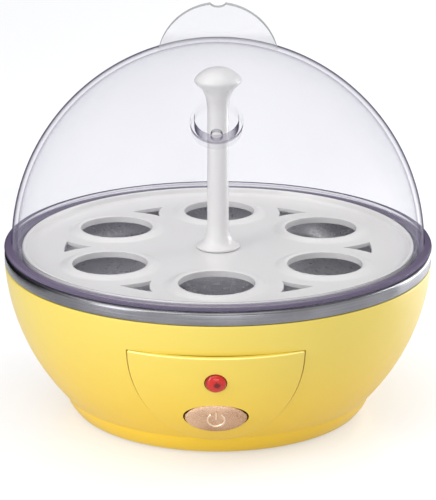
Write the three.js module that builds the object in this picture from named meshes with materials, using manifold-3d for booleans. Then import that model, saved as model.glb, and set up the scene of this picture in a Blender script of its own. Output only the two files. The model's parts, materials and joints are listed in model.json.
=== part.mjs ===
// Egg cooker that steams six eggs: a ball-shaped heated base, a white egg rack and a clear dome lid.
// Millimetres, +Z up. The origin is the middle of the feet on the table, and the switch faces -Y.
import * as THREE from 'three';
import { mergeVertices } from 'three/addons/utils/BufferGeometryUtils.js';
import Module from 'manifold-3d';

const wasm = await Module();
wasm.setup();

// ---------------------------------------------------------------- driving dimensions

const gap = 0.3; // between pieces that rest on each other
const slip = 0.5; // round pieces that lift or slide past each other
const rimRadius = 88; // steel rim and lid flange, the widest circle of the cooker

const footProud = 0.8; // rubber feet below the foot ring
const ringHeight = 7; // foot ring of the bottom cover
const ringFlare = 4.3; // how much the foot ring widens upwards
const ringThickness = 4;
const footCount = 4;
const footRadius = 6;
const footStem = 1.9; // neck of a foot in the cover's floor
const floorRise = 2; // cover floor above the foot ring's lower edge
const coverWall = 2;
const coverScrewCount = 3;
const spigotRise = 4; // upright wall of the cover inside the bowl
const spigotWall = 1.7;

const bowlHeight = 54.7; // bowl housing between its two edges
const bowlWall = 2.4;
const lipInset = 1.4; // the bowl's lip, inside the steel rim
const lipWall = 2;
const bowlCentreRise = 5.1; // centre of the bowl's ball above its upper edge

const rimHeight = 5.1; // brushed steel band
const steel = 1; // thickness of the water dish
const ledgeWidth = 5.7; // step in the dish that carries the egg rack
const ledgeDepth = 3.2; // step below the rim
const waterDepth = 14; // dish floor below the step

const domeInset = 3; // dome inside the flange's edge
const lidWall = 2.2;
const flangeHeight = 2.3;
const skirtDepth = 2.3; // locating skirt below the flange
const skirtWall = 1.3;
const ventLatitude = 52; // degrees up the front of the dome
const ventRadius = 10.2;
const ventDepth = 6;
const steamHoleRadius = 2.3;

const gripRadius = 24.7; // half-disc grip on the lid
const gripSink = 9.1; // centre of the half disc below the dome's top
const gripThickness = 6;
const gripWaist = 3.4; // thickness left between the finger hollows
const notchDepth = 1.2;

const deckThickness = 1.5;
const deckRimRise = 3;
const deckRimWall = 1.5;
const eggCount = 6;
const seatRadius = 15.2; // hole that an egg stands in
const collarWall = 1.7;
const collarRise = 1.2;
const seatToRim = 13.7; // from a collar to the edge of the rack
const slotToRim = 17.1; // from a steam slot to the edge of the rack
const slotToSeat = 11.1; // web between a steam slot and the holes beside it
const slotSector = 15; // degrees each side of a slot's middle, before the webs narrow it

const postRadius = 4.4;
const knobToDome = 8.4; // room above the knob
const knobRadius = 9.7;
const knobHeight = 10;
const postFootRadius = 9;

const panelHalfWidth = 34; // half-ellipse plate round the switch and the lamp
const panelTopDrop = 12.5; // upper edge of the plate below the bowl's upper edge
const panelProudTop = 2.6;
const panelProudBottom = 1.1;
const panelTighter = 16.45; // the plate's ball is this much tighter than the bowl's
const panelRecess = 1; // depth of the bowl's seat for the plate
const pegRadius = 2;

const lensRadius = 4.1;
const lensCrown = 1.9;
const buttonHalfWidth = 12.1;
const buttonHalfHeight = 7.35;
const buttonPitch = 22; // degrees that the button faces downwards
const buttonCrown = 1.1; // cap proud of the plate
const buttonTravel = 2;
const capFlangeWidth = 1.6; // flange that keeps the button in
const capFlangeThickness = 1.3;
const capFlangeSlip = 1.03; // behind the bowl's wall at its nearest
const capBossLength = 2;
const switchSide = 9;
const switchLength = 12;
const plungerRadius = 1.8;

const heaterRadius = 40;
const heaterThickness = 5.2;
const elementRadius = 28; // middle of the tubular element's loop
const elementTube = 3.2;
const strapWidth = 12;
const strapThickness = 1.5;
const studRadius = 3;
const thermostatRadius = 7.8;
const partOffset = 14.6; // thermostat and fuse from the middle of the heater
const fuseRadius = 2;
const fuseLength = 11;

const glandZ = 28; // mains cord entry at the back
const glandRadius = 5.2;
const glandBore = 3.5;
const wireRadius = 0.9;

const roundSides = 40; // facets of the large round pieces
const smallSides = 16;
const screwSides = 8;

// ---------------------------------------------------------------- heights and radii that follow

const ringTopZ = footProud + ringHeight;
const coverFloorZ = footProud + floorRise;
const coverInsideZ = coverFloorZ + coverWall;
const bowlBottomZ = ringTopZ + gap;
const bowlTopZ = bowlBottomZ + bowlHeight;
const bowlCentreZ = bowlTopZ + bowlCentreRise;
const bowlBall = Math.hypot(rimRadius, bowlCentreRise);
const rimBottomZ = bowlTopZ + gap;
const rimTopZ = rimBottomZ + rimHeight;
const ledgeZ = rimTopZ - ledgeDepth;
const dishFloorZ = ledgeZ - waterDepth;
const lidZ = rimTopZ + gap;
const domeBall = rimRadius - domeInset;
const domeTopZ = lidZ + domeBall;
const dishMouth = rimRadius - rimHeight;
const skirtRadius = dishMouth - slip;
const trayRadius = skirtRadius - skirtWall - slip;
const trayZ = ledgeZ + gap;
const deckZ = trayZ + deckThickness;
const seatRing = trayRadius - seatToRim - collarWall - seatRadius;
const panelTopZ = bowlTopZ - panelTopDrop;
const panelHeight = panelTopZ - bowlBottomZ;

// Radius of a ball's outline at height z.
const ballAt = (ball, centreZ, z) => Math.sqrt(ball ** 2 - (z - centreZ) ** 2);
const bowlAt = (z) => ballAt(bowlBall, bowlCentreZ, z);
const insideBowlAt = (z) => ballAt(bowlBall - bowlWall, bowlCentreZ, z);

const ringTopRadius = bowlAt(bowlBottomZ) + 2 * gap;
const ringFootRadius = ringTopRadius - ringFlare;
const spigotRadius = insideBowlAt(bowlBottomZ) - slip;
const radians = THREE.MathUtils.degToRad;

// ---------------------------------------------------------------- shaping tools

// A shape spun about Z from [radius, height] points that run anticlockwise round its section.
function spun(points, sides = roundSides) {
  const closed = points[0][0] > 0 ? [...points, points[0]] : points;
  const outline = closed.map(([radius, height]) => new THREE.Vector2(radius, height));
  return new THREE.LatheGeometry(outline, sides).rotateX(Math.PI / 2);
}

// Points on a ball's outline between two heights.
function arc(ball, centreZ, fromZ, toZ, steps) {
  const angleAt = (z) => Math.asin(THREE.MathUtils.clamp((z - centreZ) / ball, -1, 1));
  const from = angleAt(fromZ);
  const to = angleAt(toZ);
  return Array.from({ length: steps + 1 }, (_, i) => {
    const angle = from + ((to - from) * i) / steps;
    const radius = ball * Math.cos(angle);
    return [radius < 1e-6 ? 0 : radius, centreZ + ball * Math.sin(angle)];
  });
}

function ball(radius, centreZ, y = 0) {
  const bottomToTop = arc(radius, 0, -radius, radius, 24);
  return spun(bottomToTop, 48).translate(0, y, centreZ);
}

// A straight round bar along Z from z1 up to z2.
function bar(radius, z1, z2, x = 0, y = 0, sides = smallSides) {
  return new THREE.CylinderGeometry(radius, radius, z2 - z1, sides)
    .rotateX(Math.PI / 2)
    .translate(x, y, (z1 + z2) / 2);
}

function block(width, depth, z1, z2, x = 0, y = 0) {
  return new THREE.BoxGeometry(width, depth, z2 - z1).translate(x, y, (z1 + z2) / 2);
}

function oval(halfWidth, halfHeight, z1, z2) {
  const outline = new THREE.Shape();
  outline.absellipse(0, 0, halfWidth, halfHeight, 0, 2 * Math.PI, false, 0);
  const form = { depth: z2 - z1, bevelEnabled: false, curveSegments: 12 };
  return new THREE.ExtrudeGeometry(outline, form).translate(0, 0, z1);
}

// A round wire or tube through points.
function tube(radius, points, steps, sides) {
  const section = new THREE.Shape();
  section.absarc(0, 0, radius, 0, 2 * Math.PI, false);
  const path = new THREE.CatmullRomCurve3(points.map((p) => new THREE.Vector3(...p)));
  const form = { steps, curveSegments: sides / 2, extrudePath: path, bevelEnabled: false };
  return new THREE.ExtrudeGeometry(section, form);
}

// A screw along Z: a round head that starts at z and a shank in the direction of sign.
function screw(headRadius, headHeight, shankRadius, shankLength, x, y, z, sign) {
  const outline = [
    [0, -headHeight],
    [headRadius * 0.7, -headHeight],
    [headRadius, -headHeight * 0.5],
    [headRadius, 0],
    [shankRadius, 0],
    [shankRadius, shankLength - shankRadius],
    [0, shankLength],
  ];
  const form = spun(outline, screwSides);
  if (sign < 0) form.rotateX(Math.PI);
  return form.translate(x, y, z);
}

// The same solid on every spoke of a ring.
function onRing(count, radius, startDegrees, make) {
  return Array.from({ length: count }, (_, i) => {
    const angle = radians(startDegrees + (360 * i) / count);
    return make(radius * Math.cos(angle), radius * Math.sin(angle), angle);
  });
}

function solid(geometry) {
  const bare = geometry.clone();
  bare.deleteAttribute('normal');
  bare.deleteAttribute('uv');
  const welded = mergeVertices(bare, 1e-4);
  const corners = welded.index.array;
  const kept = [];
  for (let i = 0; i < corners.length; i += 3) {
    const [a, b, c] = [corners[i], corners[i + 1], corners[i + 2]];
    if (a !== b && b !== c && c !== a) kept.push(a, b, c);
  }
  const vertProperties = new Float32Array(welded.attributes.position.array);
  const triVerts = new Uint32Array(kept);
  return new wasm.Manifold(new wasm.Mesh({ numProp: 3, vertProperties, triVerts }));
}

function surface(body) {
  const { vertProperties, triVerts } = body.getMesh();
  const geometry = new THREE.BufferGeometry();
  geometry.setAttribute('position', new THREE.BufferAttribute(vertProperties, 3));
  geometry.setIndex(new THREE.BufferAttribute(triVerts, 1));
  geometry.computeVertexNormals();
  return geometry;
}

const joined = (...shapes) => shapes.map(solid).reduce((whole, next) => whole.add(next));
const cut = (body, ...shapes) => shapes.map(solid).reduce((left, next) => left.subtract(next), body);

const finishes = {
  yellow: [0xf0cc50, 0.3, 0],
  clear: [0xe4e4ee, 0.08, 0],
  white: [0xeeeeec, 0.35, 0],
  steel: [0xc4c4c6, 0.3, 1],
  aluminium: [0xb4b6b8, 0.5, 1],
  rubber: [0x2a2a2c, 0.8, 0],
  silicone: [0xd8d8d4, 0.6, 0],
  red: [0xd63a2c, 0.12, 0],
  roseGold: [0xcfa283, 0.32, 0.9],
  black: [0x1c1c1e, 0.45, 0],
  zinc: [0x9c9c98, 0.4, 1],
  glass: [0xf0d8c8, 0.05, 0],
  insulation: [0xf4f4f0, 0.5, 0],
};

const cooker = new THREE.Group();

function add(name, finish, shape, parent = cooker) {
  const [color, roughness, metalness] = finishes[finish];
  const material = new THREE.MeshStandardMaterial({ color, roughness, metalness });
  const geometry = shape.isBufferGeometry ? surface(solid(shape)) : surface(shape);
  const mesh = new THREE.Mesh(geometry, material);
  mesh.name = name;
  parent.add(mesh);
}

// A seat is a place on the cooker whose own +Z points out of the wall, and whose +Y points up it.
function seat(y, z, pitchDegrees, behind = false) {
  const group = new THREE.Group();
  group.position.set(0, y, z);
  group.rotation.order = 'ZXY';
  group.rotation.set(Math.PI / 2 + radians(pitchDegrees), 0, behind ? Math.PI : 0);
  group.updateMatrixWorld();
  cooker.add(group);
  return group;
}

const at = (group, geometry) => geometry.applyMatrix4(group.matrixWorld);

// ---------------------------------------------------------------- control panel's place

// The panel's outside is a ball through two points on the middle line, at its upper and lower edge.
function panelBall() {
  const radius = bowlBall - panelTighter;
  const top = new THREE.Vector2(bowlAt(panelTopZ) + panelProudTop, panelTopZ);
  const bottom = new THREE.Vector2(bowlAt(bowlBottomZ) + panelProudBottom, bowlBottomZ);
  const middle = top.clone().add(bottom).multiplyScalar(0.5);
  const chord = top.clone().sub(bottom);
  const inward = new THREE.Vector2(-chord.y, chord.x).normalize();
  const reach = Math.sqrt(radius ** 2 - chord.lengthSq() / 4);
  const centre = middle.addScaledVector(inward, reach);
  return { radius, y: -centre.x, z: centre.y };
}

const plate = panelBall();
const plateAt = (z) => plate.y - Math.sqrt(plate.radius ** 2 - (z - plate.z) ** 2);

// Lamp and button are spaced evenly down the panel.
const buttonRise = buttonHalfHeight * Math.cos(radians(buttonPitch));
const panelSpacing = (panelHeight - 2 * lensRadius - 2 * buttonRise) / 3;
const lensZ = panelTopZ - panelSpacing - lensRadius;
const buttonZ = bowlBottomZ + panelSpacing + buttonRise;
const lensPitch = THREE.MathUtils.radToDeg(Math.asin((plate.z - lensZ) / plate.radius));
const lensSeat = seat(plateAt(lensZ), lensZ, lensPitch);
const buttonSeat = seat(plateAt(buttonZ), buttonZ, buttonPitch);

// The half-ellipse outline as a bar along Y, grown by a margin.
function panelBar(margin) {
  const outline = new THREE.Shape();
  const halfWidth = panelHalfWidth + margin;
  outline.moveTo(-halfWidth, panelTopZ + margin);
  outline.lineTo(halfWidth, panelTopZ + margin);
  outline.absellipse(0, panelTopZ, halfWidth, panelHeight + margin, 0, -Math.PI, true, 0);
  const form = { depth: rimRadius, bevelEnabled: false, curveSegments: 16 };
  return new THREE.ExtrudeGeometry(outline, form).rotateX(Math.PI / 2).translate(0, -rimRadius / 4, 0);
}

const pegX = panelHalfWidth * 0.68;
const pegZ = panelTopZ - panelSpacing;

function peg(radius) {
  const inner = -(bowlAt(pegZ) - bowlWall - 10);
  const length = 12 - panelRecess;
  return [-pegX, pegX].map((x) => bar(radius, 0, length, 0, 0, screwSides)
    .rotateX(Math.PI / 2)
    .translate(x, inner, pegZ));
}

// ---------------------------------------------------------------- base: bottom cover and feet

const footRing = ringFootRadius - ringThickness - footRadius - 2.5;
const coverScrewHead = 3.2;
const coverScrewRing = ringFootRadius - ringThickness - 1 - coverScrewHead - slip;
const clampY = coverScrewRing * 0.72;
const clampX = 8;

function bottomCover() {
  const pan = solid(spun([
    [0, coverFloorZ],
    [ringFootRadius - ringThickness - 1, coverFloorZ],
    [ringFootRadius - ringThickness, footProud],
    [ringFootRadius - 0.5, footProud],
    [ringFootRadius, footProud + 0.5],
    [ringTopRadius, ringTopZ - 0.6],
    [ringTopRadius - 0.5, ringTopZ],
    [spigotRadius, ringTopZ],
    [spigotRadius, ringTopZ + spigotRise],
    [spigotRadius - spigotWall, ringTopZ + spigotRise],
    [spigotRadius - spigotWall, coverInsideZ],
    [0, coverInsideZ],
  ]));
  const posts = [-clampX, clampX].map((x) => bar(3.2, coverFloorZ + 1, coverInsideZ + 9, x, clampY));
  const bores = [-clampX, clampX].map((x) => bar(1.6, coverInsideZ, coverInsideZ + 10, x, clampY));
  const footHoles = onRing(footCount, footRing, 45, (x, y) => bar(footStem + gap, 0, ringTopZ, x, y, screwSides));
  const screwHoles = onRing(coverScrewCount, coverScrewRing, 90, (x, y) => bar(1.9, 0, ringTopZ, x, y, screwSides));
  const slots = [-2, -1, 0, 1, 2].map((i) => block(3, 26 - 4 * Math.abs(i), 0, ringTopZ, 8 * i, 0));
  return cut(pan.add(joined(...posts)), ...bores, ...footHoles, ...screwHoles, ...slots);
}

add('bottom_cover', 'yellow', bottomCover());

const footTopZ = coverInsideZ + 1.6;
onRing(footCount, footRing, 45, (x, y) => [x, y]).forEach(([x, y], i) => {
  const foot = spun([
    [0, 0],
    [footRadius - 0.6, 0],
    [footRadius, 0.6],
    [footRadius, coverFloorZ - gap],
    [footStem, coverFloorZ - gap],
    [footStem, coverInsideZ + gap],
    [2.9, coverInsideZ + gap],
    [1.6, footTopZ],
    [0, footTopZ],
  ], smallSides).translate(x, y, 0);
  add(`rubber_foot_${i + 1}`, 'rubber', foot);
});

onRing(coverScrewCount, coverScrewRing, 90, (x, y) => [x, y]).forEach(([x, y], i) => {
  add(`cover_screw_${i + 1}`, 'zinc', screw(coverScrewHead, 1.6, 1.5, 13, x, y, coverFloorZ - gap, 1));
});

// ---------------------------------------------------------------- base: heating unit's heights

const heaterTopZ = dishFloorZ - steel - gap;
const heaterZ = heaterTopZ - heaterThickness;
const elementZ = heaterZ - gap - elementTube;
const strapTopZ = elementZ - elementTube - 2;
const strapZ = strapTopZ - strapThickness;
const strapEnd = insideBowlAt(strapZ) - 7;

// ---------------------------------------------------------------- base: bowl housing

const flangeRimZ = bowlTopZ - 0.8;
const flangeUnderZ = flangeRimZ - 2;
const lipTopZ = rimTopZ - steel - 0.5;
const sealRadius = dishMouth - ledgeWidth + 2;
const glandPitch = THREE.MathUtils.radToDeg(Math.asin((bowlCentreZ - glandZ) / bowlBall));
const glandSeat = seat(bowlAt(glandZ), glandZ, glandPitch, true);

function bowlHousing() {
  const edge = bowlAt(bowlTopZ);
  const shell = solid(spun([
    ...arc(bowlBall, bowlCentreZ, bowlBottomZ, bowlTopZ, 7),
    [edge - lipInset, bowlTopZ],
    [edge - lipInset, lipTopZ],
    [edge - lipInset - lipWall, lipTopZ],
    [edge - lipInset - lipWall, flangeRimZ],
    [sealRadius - 1, flangeRimZ],
    [sealRadius - 1, flangeUnderZ],
    ...arc(bowlBall - bowlWall, bowlCentreZ, flangeUnderZ, bowlBottomZ, 6),
  ]));
  const screwBosses = onRing(coverScrewCount, coverScrewRing, 90, (x, y) => bar(4.5, coverInsideZ + gap, 20, x, y));
  const ribs = onRing(3, coverScrewRing + 14, 90, (x, y, angle) =>
    block(28, 2.4, ringTopZ + spigotRise + gap, 20).rotateZ(angle).translate(x, y, 0));
  const strapBosses = [-strapEnd, strapEnd].map((x) => bar(5, strapZ - 12, strapZ - gap, x, 0));
  const switchPosts = [-bracketX, bracketX].map((x) => at(buttonSeat, bar(3.2, bracketZ + gap, 0, x, 0)));
  const inWall = solid(ball(bowlBall - bowlWall / 2 - panelRecess / 2, bowlCentreZ));
  const fittings = joined(...screwBosses, ...ribs, ...strapBosses, ...switchPosts).intersect(inWall);
  const panelRoom = cut(solid(panelBar(gap)), ball(bowlBall - panelRecess, bowlCentreZ));
  return cut(
    shell.add(fittings).subtract(panelRoom),
    ...onRing(coverScrewCount, coverScrewRing, 90, (x, y) => bar(1.8, 0, 18, x, y, screwSides)),
    ...[-strapEnd, strapEnd].map((x) => bar(2, strapZ - 9, strapZ, x, 0, screwSides)),
    ...[-bracketX, bracketX].map((x) => at(buttonSeat, bar(1.6, bracketZ, bracketZ + 5.5, x, 0, screwSides))),
    ...peg(pegRadius + gap),
    at(buttonSeat, oval(buttonHalfWidth + slip, buttonHalfHeight + slip, -14, 5)),
    at(lensSeat, bar(lensRadius + gap, -12, 5)),
    at(glandSeat, bar(glandRadius + gap, -8, 5)),
  );
}

// ---------------------------------------------------------------- control panel, lamp and switch

// Depth of the bowl's inner face behind the button's surface, at a point beside the button's middle.
function wallDepthAt(x, y) {
  const outwards = new THREE.Vector3(0, 0, 1).transformDirection(buttonSeat.matrixWorld);
  const point = new THREE.Vector3(x, y, 0).applyMatrix4(buttonSeat.matrixWorld);
  point.z -= bowlCentreZ;
  const along = point.dot(outwards);
  return Math.sqrt(along ** 2 - point.lengthSq() + (bowlBall - bowlWall) ** 2) - along;
}

const capFlangeHalfWidth = buttonHalfWidth + capFlangeWidth;
const capFlangeHalfHeight = buttonHalfHeight + capFlangeWidth;
const wallDepths = Array.from({ length: 24 }, (_, i) => {
  const angle = radians(15 * i);
  return wallDepthAt(capFlangeHalfWidth * Math.cos(angle), capFlangeHalfHeight * Math.sin(angle));
});
const capFlangeZ = Math.min(...wallDepths) - capFlangeSlip - capFlangeThickness;
const capBossZ = capFlangeZ - capBossLength;
const bracketZ = capBossZ - buttonTravel - 2 * slip; // front of the switch bracket
const bracketX = capFlangeHalfWidth + 4.8; // screws of the switch bracket
const bracketThickness = 1.5;

function controlPanel() {
  const outside = solid(ball(plate.radius, plate.z, plate.y));
  const form = solid(panelBar(0)).intersect(outside);
  return cut(
    cut(form, ball(bowlBall - panelRecess + gap, bowlCentreZ)).add(joined(...peg(pegRadius))),
    at(buttonSeat, oval(buttonHalfWidth + slip, buttonHalfHeight + slip, -14, 5)),
    at(lensSeat, bar(lensRadius + gap, -12, 5)),
  );
}

add('control_panel', 'yellow', controlPanel());
add('bowl_housing', 'yellow', bowlHousing());

function powerButton() {
  const cap = joined(
    oval(buttonHalfWidth, buttonHalfHeight, capFlangeZ, buttonCrown - 0.8),
    oval(buttonHalfWidth - 1, buttonHalfHeight - 1, capFlangeZ, buttonCrown),
    oval(capFlangeHalfWidth, capFlangeHalfHeight, capFlangeZ, capFlangeZ + capFlangeThickness),
  );
  const hollow = cut(cap, oval(buttonHalfWidth - 1.6, buttonHalfHeight - 1.6, capFlangeZ - 1, -2));
  const boss = solid(bar(3.4, capBossZ, -1.5));
  return cut(hollow.add(boss), bar(plungerRadius + gap, capBossZ - 1, -5));
}

add('power_button', 'roseGold', powerButton(), buttonSeat);

const switchFrontZ = bracketZ;
const switchBackZ = switchFrontZ - switchLength;
add('switch_plunger', 'white', bar(plungerRadius, switchFrontZ - 4, -5 - gap), buttonSeat);

function switchBody() {
  const flangeZ = bracketZ - bracketThickness - gap;
  return cut(
    joined(
      block(switchSide, switchSide, switchBackZ, switchFrontZ),
      block(switchSide + 4, switchSide + 2, flangeZ - 1.4, flangeZ),
      block(0.8, 4, switchBackZ - 5, switchBackZ + 1, -2.5, 0),
      block(0.8, 4, switchBackZ - 5, switchBackZ + 1, 2.5, 0),
    ),
    bar(plungerRadius + gap, switchFrontZ - 4 - buttonTravel - 1, switchFrontZ + 1),
  );
}

function switchBracket() {
  const opening = switchSide + 2 * gap;
  return cut(
    solid(block(2 * bracketX + 8, 12, bracketZ - bracketThickness, bracketZ)),
    block(opening, opening, bracketZ - 5, bracketZ + 5),
    ...[-bracketX, bracketX].map((x) => bar(1.7, bracketZ - 5, bracketZ + 5, x, 0, screwSides)),
  );
}

add('switch_body', 'black', switchBody(), buttonSeat);
add('switch_bracket', 'zinc', switchBracket(), buttonSeat);
[-bracketX, bracketX].forEach((x, i) => {
  const headZ = bracketZ - bracketThickness - gap;
  add(`bracket_screw_${i + 1}`, 'zinc', screw(2.8, 1.5, 1.3, 6, x, 0, headZ, 1), buttonSeat);
});

const lensBackZ = -8;
const lensBall = (lensRadius ** 2 + lensCrown ** 2) / (2 * lensCrown);
add('indicator_lens', 'red', spun([
  [0, -1.2],
  [lensRadius - 1.1, -1.2],
  [lensRadius - 1.1, lensBackZ],
  [lensRadius, lensBackZ],
  ...arc(lensBall, lensCrown - lensBall, 0, lensCrown, 5),
], smallSides), lensSeat);

const wallInsideZ = -(Math.hypot(plateAt(lensZ), lensZ - bowlCentreZ) - bowlBall + bowlWall);
add('lens_retainer', 'zinc', spun([
  [lensRadius + gap, wallInsideZ - 1.8],
  [lensRadius + 2.8, wallInsideZ - 1.8],
  [lensRadius + 2.8, wallInsideZ - 0.8],
  [lensRadius + gap, wallInsideZ - 0.8],
], smallSides), lensSeat);

const lampRadius = lensRadius - 1.1 - slip;
add('neon_lamp', 'glass', spun([
  [0, -14],
  [lampRadius, -14],
  [lampRadius, -3.4],
  [lampRadius * 0.6, -2.2],
  [0, -1.8],
], 12), lensSeat);

// ---------------------------------------------------------------- base: water dish and seal

const dishStepRadius = dishMouth - ledgeWidth;
const dishCornerRadius = dishStepRadius - 4;
const dishCornerZ = dishFloorZ + 2.5;
const dishFloorRadius = dishCornerRadius - 5;
add('water_dish', 'steel', spun([
  [0, dishFloorZ - steel],
  [dishFloorRadius + 1.3 * steel, dishFloorZ - steel],
  [dishCornerRadius + 0.8 * steel, dishCornerZ - 0.7 * steel],
  [dishStepRadius + 0.7 * steel, ledgeZ - steel],
  [dishMouth + steel, ledgeZ - steel],
  [dishMouth + steel, rimTopZ - steel],
  [rimRadius - steel, rimTopZ - steel],
  [rimRadius - steel, rimBottomZ],
  [rimRadius, rimBottomZ],
  [rimRadius, rimTopZ - 0.6],
  [rimRadius - 0.6, rimTopZ],
  [dishMouth, rimTopZ],
  [dishMouth, ledgeZ],
  [dishStepRadius, ledgeZ],
  [dishCornerRadius, dishCornerZ],
  [dishFloorRadius + steel, dishFloorZ],
  [0, dishFloorZ],
]));

add('rim_seal', 'silicone', spun([
  [sealRadius, flangeRimZ + gap],
  [dishMouth, flangeRimZ + gap],
  [dishMouth, ledgeZ - steel - gap],
  [sealRadius, ledgeZ - steel - gap],
]));

// ---------------------------------------------------------------- base: heating unit

const shoulderRadius = 5;
const screwEar = 12;

function heaterPlate() {
  return cut(
    joined(
      bar(heaterRadius, heaterZ, heaterTopZ, 0, 0, roundSides),
      bar(shoulderRadius, strapTopZ + gap, heaterZ + 1),
      bar(studRadius, strapZ - 7, heaterZ),
    ),
    ...[-screwEar, screwEar].map((x) => bar(1.5, heaterZ - 1, heaterZ + 3.5, x, partOffset, screwSides)),
    bar(1.5, heaterZ - 1, heaterZ + 3.5, 0, -partOffset - 6, screwSides),
  );
}

add('heater_plate', 'aluminium', heaterPlate());

// The element's loop is open at the back, where both ends turn down.
function heatingElement() {
  const half = 165;
  const loop = Array.from({ length: 15 }, (_, i) => {
    const angle = radians(-90 - half + (2 * half * i) / 14);
    return [elementRadius * Math.cos(angle), elementRadius * Math.sin(angle), elementZ];
  });
  const [left, right] = [loop[0], loop[loop.length - 1]];
  const bend = (p) => [p[0] * 0.72, p[1] + 0.3, elementZ - 2.4];
  const end = (p) => [p[0] * 0.66, p[1] + 0.4, elementZ - 8];
  return tube(elementTube, [end(left), bend(left), ...loop, bend(right), end(right)], 40, 8);
}

const elementEndX = elementRadius * Math.sin(radians(15)) * 0.66;
const elementEndY = elementRadius * Math.cos(radians(15)) + 0.4;
const elementEndZ = elementZ - 8;
add('heating_element', 'steel', heatingElement());
[-elementEndX, elementEndX].forEach((x, i) => {
  const pin = bar(1.2, elementEndZ - 6, elementEndZ - 1, x, elementEndY, screwSides);
  add(`element_pin_${i + 1}`, 'zinc', pin);
});

function mountingStrap() {
  return cut(
    solid(block(2 * strapEnd + 10, strapWidth, strapZ, strapTopZ)),
    bar(studRadius + gap, 0, ledgeZ),
    ...[-strapEnd, strapEnd].map((x) => bar(2, 0, ledgeZ, x, 0, screwSides)),
  );
}

add('mounting_strap', 'zinc', mountingStrap());
[-strapEnd, strapEnd].forEach((x, i) => {
  add(`strap_screw_${i + 1}`, 'zinc', screw(3.5, 2, 1.7, 9, x, 0, strapTopZ + gap, -1));
});
add('strap_nut', 'zinc', cut(solid(bar(5.5, strapZ - gap - 3.5, strapZ - gap, 0, 0, 6)),
  bar(studRadius + gap, 0, ledgeZ)));

function thermostat() {
  const bladeZ = heaterZ - 12;
  return cut(
    joined(
      bar(thermostatRadius, heaterZ - 7, heaterZ - gap, 0, partOffset),
      block(2 * screwEar + 5, 5, heaterZ - 1.3, heaterZ - gap, 0, partOffset),
      block(4, 0.8, bladeZ, heaterZ - 6, -3.5, partOffset + 3),
      block(4, 0.8, bladeZ, heaterZ - 6, 3.5, partOffset + 3),
    ),
    ...[-screwEar, screwEar].map((x) => bar(1.5, heaterZ - 5, heaterZ, x, partOffset, screwSides)),
  );
}

add('thermostat', 'black', thermostat());
[-screwEar, screwEar].forEach((x, i) => {
  const headZ = heaterZ - 1.3 - gap;
  add(`thermostat_screw_${i + 1}`, 'zinc', screw(2.3, 1.3, 1.2, 4.4, x, partOffset, headZ, 1));
});

const fuseZ = heaterZ - gap - 0.4 - fuseRadius;
add('thermal_fuse', 'zinc', bar(fuseRadius, -fuseLength / 2, fuseLength / 2, 0, 0, 12)
  .rotateY(Math.PI / 2).translate(0, -partOffset, fuseZ));

// A sheet saddle over the fuse with one foot for its screw.
function fuseClip() {
  const inner = fuseRadius + gap;
  const outer = inner + 0.7;
  const outline = new THREE.Shape();
  const footTop = heaterZ - gap - fuseZ;
  outline.moveTo(-9, footTop);
  outline.lineTo(-9, footTop - 0.7);
  outline.lineTo(-outer, footTop - 0.7);
  outline.lineTo(-outer, 0);
  outline.absarc(0, 0, outer, Math.PI, 0, false);
  outline.lineTo(outer, footTop - 0.4);
  outline.lineTo(inner, footTop - 0.4);
  outline.lineTo(inner, 0);
  outline.absarc(0, 0, inner, 0, Math.PI, true);
  outline.lineTo(-inner, footTop);
  const form = { depth: 5, bevelEnabled: false, curveSegments: 6 };
  const strip = new THREE.ExtrudeGeometry(outline, form).translate(0, 0, -2.5);
  strip.applyMatrix4(new THREE.Matrix4().makeBasis(
    new THREE.Vector3(0, 1, 0),
    new THREE.Vector3(0, 0, 1),
    new THREE.Vector3(1, 0, 0),
  ));
  strip.translate(0, -partOffset, fuseZ);
  return cut(solid(strip), bar(1.5, heaterZ - 5, heaterZ, 0, -partOffset - 6, screwSides));
}

add('fuse_clip', 'steel', fuseClip());
add('fuse_clip_screw', 'zinc', screw(2.3, 1.3, 1.2, 4, 0, -partOffset - 6, heaterZ - 1.3, 1));

// ---------------------------------------------------------------- base: mains entry and wiring

add('cord_gland', 'rubber', spun([
  [glandBore, -bowlWall - 3.5],
  [glandRadius, -bowlWall - 3.5],
  [glandRadius + 2, -bowlWall - 2.5],
  [glandRadius + 2, -bowlWall - 1],
  [glandRadius, -bowlWall - 1],
  [glandRadius, 0.8],
  [glandRadius + 2.2, 0.8],
  [glandRadius + 1.6, 3.4],
  [glandBore + 1, 9],
  [glandBore, 9],
], smallSides), glandSeat);

const clampZ = coverInsideZ + 9 + gap;

function cordClamp() {
  return cut(
    joined(
      block(2 * clampX + 8, 8, clampZ, clampZ + 2.5, 0, clampY),
      block(7, 8, clampZ - 1.5, clampZ + 1, 0, clampY),
    ),
    ...[-clampX, clampX].map((x) => bar(1.7, 0, ledgeZ, x, clampY, screwSides)),
  );
}

add('cord_clamp', 'white', cordClamp());
[-clampX, clampX].forEach((x, i) => {
  const headZ = clampZ + 2.5 + gap;
  add(`clamp_screw_${i + 1}`, 'zinc', screw(2.8, 1.6, 1.3, 10, x, clampY, headZ, -1));
});

const spliceX = 24;
const spliceRadius = 3.2;
const spliceZ = footTopZ + gap + spliceRadius;
[-spliceX, spliceX].forEach((x, i) => {
  const cap = spun([
    [0, 0],
    [spliceRadius - 0.6, 0],
    [spliceRadius, 1],
    [spliceRadius, 11],
    [spliceRadius - 0.8, 12.5],
    [0, 12.5],
  ], 12);
  add(`splice_cap_${i + 1}`, 'white', cap.rotateX(-Math.PI / 2).translate(x, 16, spliceZ));
});

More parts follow.
